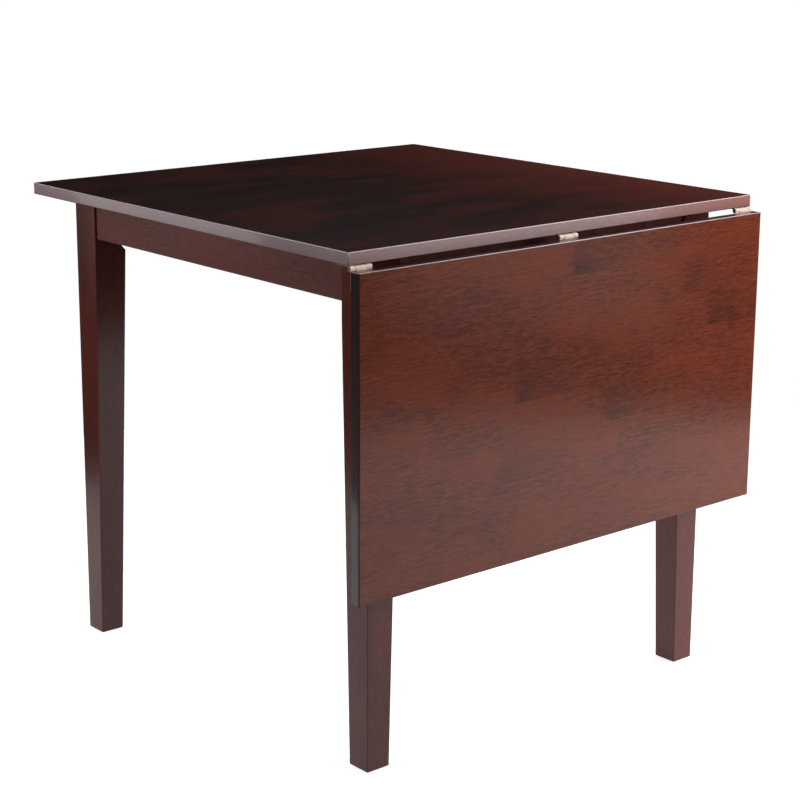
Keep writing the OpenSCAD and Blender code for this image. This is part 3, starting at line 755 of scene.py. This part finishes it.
    def metal(self, graph: Graph, shader: bpy.types.Node, finish: MetalFinish) -> None:
        """Brushed or polished metal.

        Args:
            graph: The material's graph.
            shader: Its shader.
            finish: The finish.
        """
        coordinates = graph.add("ShaderNodeTexCoord").outputs
        place = coordinates["Object"]
        sideways, _, _ = graph.split(graph.vector_math("ABSOLUTE", coordinates["Normal"]))
        patches = graph.noise(place, scale=90.0, detail=4.0, roughness=0.6)
        dull_and_edge_sheen_shade = graph.remap(patches, *self.DULL_PATCHES)
        lines = graph.vector_math("MULTIPLY", place, self.BRUSH_STRETCH)
        brush = graph.noise(lines, scale=finish.brushing, detail=2.0, roughness=0.6)
        colour = graph.mix(dull_and_edge_sheen_shade, finish.colour, finish.tarnish)
        colour = graph.mix(graph.remap(sideways, *self.CUT_ENDS), colour, finish.cut)
        rough = graph.math("MULTIPLY_ADD", dull_and_edge_sheen_shade, finish.spread, finish.roughness)
        rough = graph.math("MULTIPLY_ADD", brush, self.BRUSH_ROUGH, rough)
        normal = graph.bump(brush, self.BRUSH_RELIEF, strength=0.25)
        values = {"Base Color": colour, "Metallic": finish.metallic}
        graph.fill(shader, Roughness=rough, Normal=normal, **values)

    def nylon(self, graph: Graph, shader: bpy.types.Node, finish: NylonFinish) -> None:
        """Moulded nylon with a fine texture and scuffs.

        Args:
            graph: The material's graph.
            shader: Its shader.
            finish: The finish.
        """
        place = graph.add("ShaderNodeTexCoord").outputs["Object"]
        marks = graph.noise(place, scale=220.0, detail=4.0, roughness=0.65)
        scuff = graph.remap(marks, *self.SCUFFS)
        grit = graph.noise(place, scale=1800.0, detail=2.0, roughness=0.5)
        colour = graph.mix(scuff, finish.colour, finish.wear_and_highlight)
        rough = graph.math("MULTIPLY_ADD", scuff, self.SCUFF_ROUGH, finish.roughness)
        normal = graph.bump(grit, self.GRIT_RELIEF, strength=0.4)
        graph.fill(shader, Roughness=rough, Normal=normal, **{"Base Color": colour})


class EdgeSoftener:
    """Modifiers that weld a CAD mesh, round its sharp edges and shade it smoothly.

    Attributes:
        STEPS: Steps in which an edge is rounded.
    """

    STEPS = 2

    def __init__(self) -> None:
        """Makes the shared shading group."""
        self.shading = bpy.data.node_groups.new("Smooth by angle", "GeometryNodeTree")
        for direction in ("INPUT", "OUTPUT"):
            self.shading.interface.new_socket(
                "Geometry", in_out=direction, socket_type="NodeSocketGeometry",
            )
        graph = Graph(self.shading)
        faces = graph.add("GeometryNodeSetShadeSmooth", domain="FACE")
        edges = graph.add("GeometryNodeSetShadeSmooth", domain="EDGE")
        sharp = graph.add("FunctionNodeCompare", data_type="FLOAT", operation="GREATER_THAN")
        angle = graph.add("GeometryNodeInputMeshEdgeAngle").outputs["Unsigned Angle"]
        graph.put(graph.wire(sharp, (angle, SMOOTH_ANGLE)), edges.inputs["Selection"])
        graph.put(graph.add("NodeGroupInput").outputs[0], faces.inputs["Geometry"])
        graph.put(faces.outputs[0], edges.inputs["Geometry"])
        edges.inputs["Shade Smooth"].default_value = False
        graph.put(edges.outputs[0], graph.add("NodeGroupOutput").inputs[0])

    def soften(self, obj: bpy.types.Object, width: float, loose: bool) -> None:
        """Adds the modifiers to an object.

        Args:
            obj: The object.
            width: Width of the rounding, or 0 for none.
            loose: Whether its triangles are still loose.
        """
        if loose:
            obj.modifiers.new("Weld", "WELD").merge_threshold = WELD
        if width:
            bevel = obj.modifiers.new("Soft edges", "BEVEL")
            bevel.width, bevel.segments = width, self.STEPS
            bevel.limit_method, bevel.angle_limit = "ANGLE", SMOOTH_ANGLE
        obj.modifiers.new("Shading", "NODES").node_group = self.shading
        obj.modifiers.new("Flat faces", "WEIGHTED_NORMAL").keep_sharp = True


@dataclass(frozen=True)
class FastenerAxis:
    """Where one fastener lies.

    Attributes:
        head: Centre of the outer face of its head.
        direction: Unit vector from the head towards the tip.
        length: Its whole length.
        radius: Radius of its widest part.
    """

    head: Vector
    direction: Vector
    length: float
    radius: float

    def matrix(self, twist: float) -> Matrix:
        """A frame at the head, with Z along the fastener, twisted about it by some radians."""
        turn = self.direction.to_track_quat("Z", "Y").to_matrix().to_4x4()
        return Matrix.Translation(self.head) @ turn @ Matrix.Rotation(twist, 4, "Z")


class CadReader:
    """Reads the fasteners' places from the CAD nodes, so that fine pieces sit where they do."""

    @staticmethod
    def solids(node: str) -> list[np.ndarray]:
        """Splits a node into its separate solids.

        Args:
            node: The CAD node's name.

        Returns:
            The corner points of each solid.
        """
        bm = bmesh.new()
        bm.from_mesh(frame["nodes"][node].data)
        bmesh.ops.remove_doubles(bm, verts=bm.verts, dist=WELD)
        left = set(bm.verts)
        found = []
        while left:
            reached = {min(left, key=lambda v: v.index)}
            frontier = set(reached)
            while frontier:
                near = {e.other_vert(v) for v in frontier for e in v.link_edges}
                frontier = near - reached
                reached |= frontier
            left -= reached
            found.append(np.array([v.co for v in sorted(reached, key=lambda v: v.index)]))
        bm.free()
        return found

    @classmethod
    def axes(cls, node: str, along: Iterable[Vector]) -> list[FastenerAxis]:
        """Finds the axis of each solid of a node.

        Args:
            node: The CAD node's name.
            along: Directions that the solids may lie along.

        Returns:
            One axis for each solid.
        """
        found = []
        for points in cls.solids(node):
            tries = [cls.axis(points, np.array(direction.normalized())) for direction in along]
            found.append(min(tries, key=lambda pair: pair[0])[1])
        return found

    @staticmethod
    def axis(points: np.ndarray, unit: np.ndarray) -> tuple[float, FastenerAxis]:
        """Reads a solid as a turned piece about one direction.

        Args:
            points: The solid's corner points.
            unit: The direction.

        Returns:
            How far the solid is from round about it, and the axis.
        """
        side = np.array(Vector(unit).orthogonal().normalized())
        other = np.cross(unit, side)
        depth, across, up = points @ unit, points @ side, points @ other
        middle_across, middle_up = (across.max() + across.min()) / 2, (up.max() + up.min()) / 2
        reach = np.hypot(across - middle_across, up - middle_up)
        half = (depth.max() + depth.min()) / 2
        headfirst = reach[depth < half].max() >= reach[depth > half].max()
        start = depth.min() if headfirst else depth.max()
        head = unit * start + side * middle_across + other * middle_up
        spans = [np.ptp(across), np.ptp(up), np.ptp(across + up) / math.sqrt(2)]
        return max(spans) - min(spans), FastenerAxis(
            head=Vector(head), direction=Vector(unit if headfirst else -unit),
            length=float(np.ptp(depth)), radius=float(reach.max()),
        )


@dataclass
class Workshop:
    """What every sub-assembly needs to finish its pieces.

    Attributes:
        shop: Makes the materials.
        softener: Adds the edge modifiers.
        bodies: Body of each CAD node.
        twist: Turn of each fastener against the one before it, in radians.
    """

    shop: FinishShop
    softener: EdgeSoftener
    bodies: dict[str, str]
    twist: float = 2.4

    def dress(self, node: str, finish: Finish, soft: float = 0.0) -> None:
        """Gives a CAD node its finish and soft edges.

        Args:
            node: The CAD node's name.
            finish: The finish.
            soft: Width of its soft edges.
        """
        obj = frame["nodes"][node]
        obj.data.materials.clear()
        obj.data.materials.append(self.shop.material(finish))
        self.softener.soften(obj, soft, loose=True)
        LOG.info("%s: CAD shape in %s", node, finish.name)

    def fasten(self, node: str, finish: Finish, along: Iterable[Vector], unit: "Fastener") -> None:
        """Replaces a node of like fasteners with finer ones.

        Args:
            node: The CAD node's name.
            finish: Their finish.
            along: Directions they may lie along.
            unit: The fastener.
        """
        axes = CadReader.axes(node, along)
        one = bpy.data.meshes.new(node)
        unit.build(axes[0]).to_mesh(one)
        bm = bmesh.new()
        for number, axis in enumerate(axes):
            copy = one.copy()
            copy.transform(axis.matrix(self.twist * number))
            bm.from_mesh(copy)
            bpy.data.meshes.remove(copy)
        bpy.data.meshes.remove(one)
        obj = add_mesh("fine_" + node, bm, self.shop.material(finish))
        self.softener.soften(obj, 0.0, loose=False)
        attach(obj, self.bodies[node])
        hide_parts(node)
        LOG.info("%s: %d pieces, %d faces", obj.name, len(axes), len(obj.data.polygons))


class Fastener:
    """Base of the turned fasteners. Each is built with its head at z = 0 and its shank along +Z.

    Attributes:
        steps: Sides of a full turn.
    """

    steps: int = 32

    def build(self, axis: FastenerAxis) -> bmesh.types.BMesh:
        """Builds one as a closed mesh, as long as its CAD solid."""
        raise NotImplementedError

    @staticmethod
    def line(bm: bmesh.types.BMesh, profile: Profile) -> list[Element]:
        """Draws the (radius, height) points of a profile, and gives its corners and edges."""
        verts = [bm.verts.new((radius, 0.0, height)) for radius, height in profile]
        return verts + [bm.edges.new(pair) for pair in zip(verts, verts[1:], strict=False)]

    @classmethod
    def turned(cls, profile: Profile) -> bmesh.types.BMesh:
        """Spins a profile about Z into a closed solid.

        Args:
            profile: (radius, height) points, with radius 0 at both ends.

        Returns:
            The solid.
        """
        bm = bmesh.new()
        bmesh.ops.spin(
            bm, geom=cls.line(bm, profile), cent=(0, 0, 0), axis=(0, 0, 1), angle=math.tau,
            dvec=(0, 0, 0), steps=cls.steps, use_merge=True,
        )
        return cls.closed(bm)

    @staticmethod
    def closed(bm: bmesh.types.BMesh) -> bmesh.types.BMesh:
        """Merges doubles, fills open loops and turns the faces outwards.

        The operators leave another order in each run, so corners and faces are put in order of
        their places.

        Args:
            bm: The mesh.

        Returns:
            The same mesh.
        """
        bmesh.ops.remove_doubles(bm, verts=bm.verts, dist=WELD)
        bmesh.ops.holes_fill(bm, edges=[e for e in bm.edges if e.is_boundary], sides=0)
        bmesh.ops.recalc_face_normals(bm, faces=bm.faces)
        corners = sorted(bm.verts, key=lambda v: tuple(v.co))
        faces = sorted(bm.faces, key=lambda f: tuple(f.calc_center_median()))
        for number, part in (*enumerate(corners), *enumerate(faces)):
            part.index = number
        bm.verts.sort()
        bm.faces.sort()
        return bm


@dataclass(frozen=True)
class CrossScrew(Fastener):
    """A screw with a cross recess in its head.

    Attributes:
        rim: Radius of the flat crown that holds the recess.
        head: (radius, height) points of the head below the crown.
        shank: Radius of the shank.
        recess: Depth of the recess.
        narrowing: Width of the recess's floor, as a share of its mouth.
        thread: Depth of the thread.
        pitch: Pitch of the thread.
        cross: Reach, half width and corner of the cross, as shares of the rim.
        taper: Length of the bare tip, and radius of its point, as shares of the shank.
    """

    rim: float
    head: Profile
    shank: float
    recess: float
    narrowing: float = 0.5
    thread: float = 0.0004
    pitch: float = 0.0014
    cross: tuple[float, float, float] = (0.84, 0.20, 0.50)
    taper: tuple[float, float] = (2.4, 0.25)

    def build(self, axis: FastenerAxis) -> bmesh.types.BMesh:
        """Builds one from a grid that is recessed, bridged to the rim and drawn out.

        Args:
            axis: Its CAD solid's axis, for the length.

        Returns:
            A closed mesh.
        """
        bm = bmesh.new()
        arm, half_arm, corner = (share * self.rim for share in self.cross)
        grid = bmesh.ops.create_grid(bm, x_segments=3, y_segments=3, size=1.0)["verts"]
        for vert in grid:
            outer = [abs(value) > 0.5 for value in vert.co.xy]
            reach = {0: half_arm, 1: arm, 2: corner}[sum(outer)]
            for number in (0, 1):
                size = reach if outer[number] or sum(outer) == 0 else half_arm
                vert.co[number] = math.copysign(size, vert.co[number])
        outline = [e for e in bm.edges if e.is_boundary]
        bars = [
            f for f in bm.faces if min(abs(c) for c in f.calc_center_median().xy) < half_arm / 2
        ]
        moved = bmesh.ops.extrude_face_region(bm, geom=bars)["geom"]
        bmesh.ops.delete(bm, geom=[f for f in bars if f.is_valid], context="FACES_ONLY")
        floor = [v for v in moved if isinstance(v, bmesh.types.BMVert)]
        bmesh.ops.scale(bm, vec=(self.narrowing, self.narrowing, 1.0), verts=floor)
        bmesh.ops.translate(bm, vec=(0, 0, self.recess), verts=floor)
        ring = bmesh.ops.create_circle(bm, segments=self.steps, radius=self.rim)["verts"]
        edges = list(dict.fromkeys(e for v in ring for e in v.link_edges))
        bmesh.ops.bridge_loops(bm, edges=outline + edges)
        depth = self.head[-1][1]
        tip = axis.length - self.taper[0] * self.shank
        turns = int((tip - depth) / self.pitch)
        threads = [
            (self.shank - self.thread * (step % 2), depth + (tip - depth) * step / (2 * turns))
            for step in range(2 * turns + 1)
        ]
        self.draw_out(bm, edges, [*self.head, *threads, (self.taper[1] * self.shank, axis.length)])
        return self.closed(bm)

    def draw_out(
        self, bm: bmesh.types.BMesh, edges: list[bmesh.types.BMEdge], profile: Profile,
    ) -> None:
        """Extrudes the rim ring by ring along a profile.

        Args:
            bm: The mesh.
            edges: Edges of the rim.
            profile: (radius, height) of each new ring.
        """
        radius, height = self.rim, 0.0
        for new_radius, new_height in profile:
            new = bmesh.ops.extrude_edge_only(bm, edges=edges)["geom"]
            verts = [v for v in new if isinstance(v, bmesh.types.BMVert)]
            edges = [e for e in new if isinstance(e, bmesh.types.BMEdge)]
            share = new_radius / radius
            bmesh.ops.scale(bm, vec=(share, share, 1.0), verts=verts)
            bmesh.ops.translate(bm, vec=(0, 0, new_height - height), verts=verts)
            radius, height = new_radius, new_height


@dataclass(frozen=True)
class ThreadedRod(Fastener):
    """A rod with a fine machine thread.

    Attributes:
        pitch: Pitch of the thread.
        depth: Depth of the thread.
        crest: Where its flat crest starts and ends, as shares of the pitch.
    """

    pitch: float = 0.00125
    depth: float = 0.0006
    crest: tuple[float, float] = (-0.6, -0.4)
    steps = 20

    def build(self, axis: FastenerAxis) -> bmesh.types.BMesh:
        """Builds one as a helix that is cut flat at both ends.

        Args:
            axis: Its CAD solid's axis, for the length and radius.

        Returns:
            A closed mesh.
        """
        bm = bmesh.new()
        turns = math.ceil(axis.length / self.pitch) + 1
        root, (start, end) = axis.radius - self.depth, self.crest
        tooth = (
            (root, -self.pitch), (axis.radius, start * self.pitch), (axis.radius, end * self.pitch),
            (root, 0.0),
        )
        bmesh.ops.spin(
            bm, geom=self.line(bm, tooth), cent=(0, 0, 0), axis=(0, 0, 1), angle=math.tau * turns,
            dvec=(0, 0, self.pitch / self.steps), steps=self.steps * turns, use_merge=False,
        )
        bmesh.ops.remove_doubles(bm, verts=bm.verts, dist=WELD)
        for height, outwards in ((0.0, -1.0), (axis.length, 1.0)):
            bmesh.ops.bisect_plane(
                bm, geom=[*bm.verts, *bm.edges, *bm.faces], plane_co=(0, 0, height),
                plane_no=(0, 0, outwards), clear_outer=True,
            )
        return self.closed(bm)


@dataclass(frozen=True)
class Rivet(Fastener):
    """A rivet with one domed head, or two.

    Attributes:
        head_height: Height of a head.
        shank: Radius of the shank.
        two_heads: Whether its far end is headed too.
        dome_step: Angle between the rings of a dome, in degrees.
    """

    head_height: float = 0.0018
    shank: float = 0.0025
    two_heads: bool = True
    dome_step: int = 15

    def build(self, axis: FastenerAxis) -> bmesh.types.BMesh:
        """Builds one by spinning its profile.

        Args:
            axis: Its CAD solid's axis, for the length and head radius.

        Returns:
            A closed mesh.
        """
        angles = [math.radians(degrees) for degrees in range(0, 91, self.dome_step)]
        dome = [(axis.radius * math.sin(a), self.head_height * (1 - math.cos(a))) for a in angles]
        dome.append((self.shank, self.head_height))
        if self.two_heads:
            far = [(radius, axis.length - height) for radius, height in reversed(dome)]
        else:
            far = [(self.shank, axis.length), (0.0, axis.length)]
        return self.turned(dome + far)


PAN_SCREW = CrossScrew(
    rim=0.0026, shank=0.0020, recess=0.0015,
    head=(
        (0.0034, 0.0004), (0.0038, 0.0009), (0.0040, 0.0016), (0.0040, 0.0024), (0.0020, 0.0024),
    ),
)
FLAT_SCREW = CrossScrew(
    rim=0.0027, shank=0.0015, recess=0.0011, head=((0.0029, 0.0002), (0.0015, 0.0016)),
    thread=0.0003, pitch=0.0011,
)


@dataclass
class Boards:
    """The fixed top and the drop leaf."""

    def make(self, work: Workshop) -> None:
        """Finishes both boards."""
        work.dress("table_top", TOP)
        work.dress("drop_leaf", LEAF)


@dataclass
class Base:
    """Legs, aprons and the fittings that hold them.

    Attributes:
        plate_soft: Width of the soft edges of the plates.
        washer_soft: Width of the soft edges of the washers and glides.
        nut_soft: Width of the chamfers of the nuts.
    """

    plate_soft: float = 0.0004
    washer_soft: float = 0.0003
    nut_soft: float = 0.0005

    def make(self, work: Workshop) -> None:
        """Finishes the base and builds its fasteners.

        Args:
            work: The workshop.
        """
        for end in ("front", "rear"):
            work.dress("apron_" + end, LONG_APRON)
            for side in ("left", "right"):
                work.dress(f"leg_{end}_{side}", LEG)
                work.dress(f"corner_bracket_{end}_{side}", ZINC, self.plate_soft)
        for side in ("left", "right"):
            work.dress("apron_" + side, SIDE_APRON)
        work.dress("foot_glides", NYLON, self.washer_soft)
        work.dress("top_angle_brackets", ZINC, self.plate_soft)
        work.dress("hanger_washers", ZINC, self.washer_soft)
        work.dress("hanger_nuts", ZINC, self.nut_soft)
        for place in ("corner_bracket", "top_angle"):
            work.fasten(place + "_screws", ZINC, AXES, PAN_SCREW)
        work.fasten("hanger_bolts", ZINC, DIAGONALS, ThreadedRod())


@dataclass
class Hinges:
    """The three hinges between the top and the leaf.

    Attributes:
        soft: Width of the soft edges of the plates.
    """

    soft: float = 0.00025

    def make(self, work: Workshop) -> None:
        """Finishes the hinges and builds their screws.

        Args:
            work: The workshop.
        """
        for place in ("left", "middle", "right"):
            for part in ("top_plate", "leaf_plate", "pin"):
                work.dress(f"hinge_{part}_{place}", BRASS, self.soft)
        for board in ("top", "leaf"):
            work.fasten(f"hinge_{board}_screws", BRASS, AXES[1:], FLAT_SCREW)


@dataclass
class Braces:
    """The two folding braces that hold the leaf up.

    Attributes:
        soft: Width of the soft edges of the arms and brackets.
    """

    soft: float = 0.0004

    def make(self, work: Workshop) -> None:
        """Finishes the braces and builds their rivets and screws.

        Args:
            work: The workshop.
        """
        for side in ("left", "right"):
            for part in ("frame_bracket", "lower_arm", "upper_arm", "leaf_bracket"):
                work.dress(f"brace_{part}_{side}", ZINC, self.soft)
            work.fasten("brace_elbow_rivet_" + side, ZINC, AXES[:1], Rivet())
            work.fasten("brace_arm_rivet_" + side, ZINC, AXES[:1], Rivet(two_heads=False))
        work.fasten("brace_frame_rivets", ZINC, AXES[:1], Rivet())
        work.fasten("brace_leaf_rivets", ZINC, AXES[:1], Rivet(two_heads=False))
        for end in ("frame", "leaf"):
            work.fasten(f"brace_{end}_screws", ZINC, AXES, PAN_SCREW)


@dataclass(frozen=True)
class StudioCamera:
    """The photograph's viewpoint.

    Attributes:
        location: Its position.
        heading: Direction it looks in, in degrees from +X towards +Y.
        dip: How far it looks down, in degrees.
        roll: Its roll, in degrees.
        focal: Focal length in pixels of the 800 pixel frame.
        shift: Vertical shift, as a share of the frame.
        clip: Nearest and farthest distance that it sees.
    """

    location: tuple[float, float, float] = (-1.93071, -2.29199, 1.19559)
    heading: float = 49.612
    dip: float = 13.578
    roll: float = 0.291
    focal: float = 1949.9
    shift: float = -0.045
    clip: tuple[float, float] = (0.05, 100.0)

    def make(self) -> None:
        """Creates the camera and makes it the scene's."""
        data = bpy.data.cameras.new("Camera")
        data.lens = self.focal / FRAME_PIXELS * data.sensor_width
        data.shift_y = self.shift
        data.clip_start, data.clip_end = self.clip
        heading, dip, roll = (math.radians(a) for a in (self.heading, self.dip, self.roll))
        level = math.cos(dip)
        ahead = Vector((math.cos(heading) * level, math.sin(heading) * level, -math.sin(dip)))
        right = Vector((math.sin(heading), -math.cos(heading), 0.0))
        up = right.cross(ahead)
        across = math.cos(roll) * right + math.sin(roll) * up
        upward = math.cos(roll) * up - math.sin(roll) * right
        turn = Matrix((across, upward, -ahead)).transposed().to_4x4()
        camera = add_object("Camera", data)
        camera.matrix_world = Matrix.Translation(self.location) @ turn
        bpy.context.scene.camera = camera


@dataclass(frozen=True)
class SoftBox:
    """An area light.

    Attributes:
        name: Its name.
        location: Its position.
        target: The point it faces.
        size: Its width and height.
        power: Its power in watts.
        mirrored: Whether glossy surfaces reflect it.
    """

    name: str
    location: tuple[float, float, float]
    target: tuple[float, float, float]
    size: tuple[float, float]
    power: float
    mirrored: bool = False

    def make(self) -> None:
        """Creates the light."""
        data = bpy.data.lights.new(self.name, "AREA")
        data.shape = "RECTANGLE"
        data.size, data.size_y = self.size
        data.energy = self.power
        lamp = add_object(self.name, data)
        lamp.location = self.location
        lamp.rotation_mode = "QUATERNION"
        aim = Vector(self.target) - Vector(self.location)
        lamp.rotation_quaternion = aim.to_track_quat("-Z", "Y")
        lamp.visible_glossy = self.mirrored
        lamp.visible_camera = False


@dataclass
class Studio:
    """Floor, backdrop and lights.

    Attributes:
        centre: Middle of the floor and of the curtain.
        floor_radius: Radius of the pale floor.
        floor_gap: How far it lies under the feet.
        paper: Its grey, from 0 for black to 1 for white.
        glow: Light that it adds in the picture and in reflections, so that it reads white.
        room: Height of a direction, from -1 down to 1 up, and the soft light from there.
        curtain_radius: Radius of the dark curtain that the lacquer reflects round the white floor.
        curtain_reach: Heights of its foot and its top.
        curtain_fade: Heights between which it fades into the white backdrop.
        curtain_glow: Its brightness below and above those.
        lights: The soft boxes.
    """

    centre: tuple[float, float] = (0.2, -0.3)
    floor_radius: float = 1.7
    floor_gap: float = 0.0005
    paper: float = 0.62
    glow: float = 0.85
    room: tuple[tuple[float, float], ...] = (
        (-0.05, 0.24), (0.06, 0.16), (0.16, 0.10), (0.60, 0.06),
    )
    curtain_radius: float = 3.0
    curtain_reach: tuple[float, float] = (-1.6, 3.4)
    curtain_fade: tuple[float, float] = (1.75, 3.4)
    curtain_glow: tuple[float, float] = (0.004, 1.0)
    lights: tuple[SoftBox, ...] = (
        SoftBox("Key", (1.75, -2.05, 1.1), (0.1, -0.2, 0.45), (1.3, 1.2), 63.0),
        SoftBox("High", (1.2, -1.3, 2.0), (0.1, -0.3, 0.7), (0.8, 0.8), 7.0),
        SoftBox("Right side", (0.98, -0.20, 0.99), (0.32, 0.0, 0.75), (0.50, 0.50), 8.0),
        SoftBox("Fill", (-1.90, 0.70, 0.62), (-0.3, 0.1, 0.6), (1.2, 0.7), 16.5),
        SoftBox("Rear", (0.4, 3.0, 1.6), (0.0, 0.0, 0.4), (2.2, 1.2), 20.0),
        SoftBox("Low card", (1.95, -2.50, 0.22), (0.2, -0.4, 0.6), (0.8, 0.5), 1.3, mirrored=True),
        SoftBox(
            "Far card", (-1.53, 1.74, 0.405), (-0.4, 0.0, 0.7), (0.46, 0.18), 0.42, mirrored=True,
        ),
    )

    def make(self) -> None:
        """Builds the studio."""
        self.world()
        self.floor()
        self.curtain()
        for light in self.lights:
            light.make()
        bpy.context.scene.view_settings.view_transform = "Standard"

    @staticmethod
    def sees(graph: Graph) -> Socket:
        """Tells whether a ray shows the background, seen straight, mirrored or through glass.

        Args:
            graph: The graph to add to.

        Returns:
            1 for such a ray and 0 for others.
        """
        path = graph.add("ShaderNodeLightPath").outputs
        rays = (path["Is Camera Ray"], path["Is Glossy Ray"], path["Is Transmission Ray"])
        return graph.chain("MAXIMUM", *rays)

    def world(self) -> None:
        """A white backdrop that lights the table softly, most from low down."""
        world = bpy.data.worlds.new("Studio")
        graph = Graph.cleared(world)
        _, _, height = graph.split(graph.add("ShaderNodeTexCoord").outputs["Generated"])
        ramp = graph.add("ShaderNodeValToRGB")
        ramp.color_ramp.interpolation = "EASE"
        stops = ramp.color_ramp.elements
        while len(stops) < len(self.room):
            stops.new(1.0)
        for stop, (direction, light) in zip(stops, self.room, strict=True):
            stop.position = (direction + 1) / 2
            stop.color = (light, light, light, 1.0)
        soft = graph.wire(ramp, [graph.math("MULTIPLY_ADD", height, 0.5, 0.5)])
        backdrop = graph.add("ShaderNodeBackground")
        graph.show(graph.wire(backdrop, [graph.mix(self.sees(graph), soft, WHITE)]), "World")
        bpy.context.scene.world = world

    def floor(self) -> None:
        """A round pale floor that reads as white paper and keeps a soft shadow."""
        material = bpy.data.materials.new("white_paper")
        graph = Graph.cleared(material)
        tone = (self.paper, self.paper, self.paper)
        paper = graph.fill(graph.add("ShaderNodeBsdfDiffuse"), Color=tone)[0]
        strength = graph.math("MULTIPLY", self.sees(graph), self.glow)
        glow = graph.fill(graph.add("ShaderNodeEmission"), Strength=strength)[0]
        graph.show(graph.wire(graph.add("ShaderNodeAddShader"), (paper, glow)))
        bm = bmesh.new()
        bmesh.ops.create_circle(
            bm, cap_ends=True, segments=STUDIO_SIDES, radius=self.floor_radius,
            matrix=Matrix.Translation((*self.centre, 0.0)),
        )
        floor = add_mesh("Floor", bm, material)
        floor.location.z = -self.floor_gap

    def curtain(self) -> None:
        """A round dark curtain behind the mirrored cards, seen in reflections alone."""
        material = bpy.data.materials.new("dark_curtain")
        graph = Graph.cleared(material)
        _, _, up = graph.split(graph.add("ShaderNodeTexCoord").outputs["Object"])
        strength = graph.remap(up, *self.curtain_fade, *self.curtain_glow)
        graph.show(graph.fill(graph.add("ShaderNodeEmission"), Strength=strength)[0])
        foot, top = self.curtain_reach
        bm = bmesh.new()
        bmesh.ops.create_cone(
            bm, segments=STUDIO_SIDES, radius1=self.curtain_radius, radius2=self.curtain_radius,
            depth=top - foot, matrix=Matrix.Translation((*self.centre, (foot + top) / 2)),
        )
        curtain = add_mesh("Curtain", bm, material)
        for kind in ("camera", "diffuse", "transmission", "volume_scatter", "shadow"):
            setattr(curtain, f"visible_{kind}", False)


def main() -> None:
    """Builds the visual model and its studio."""
    logging.basicConfig(level=logging.INFO, format="%(name)s: %(message)s")
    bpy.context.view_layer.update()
    StudioCamera().make()
    listed = frame["record"]["behaviour"]["bodies"]
    bodies = {node: body for body, nodes in listed.items() for node in nodes}
    work = Workshop(FinishShop(), EdgeSoftener(), bodies)
    for assembly in (Boards(), Base(), Hinges(), Braces()):
        assembly.make(work)
    Studio().make()


if __name__ == "__main__":
    main()
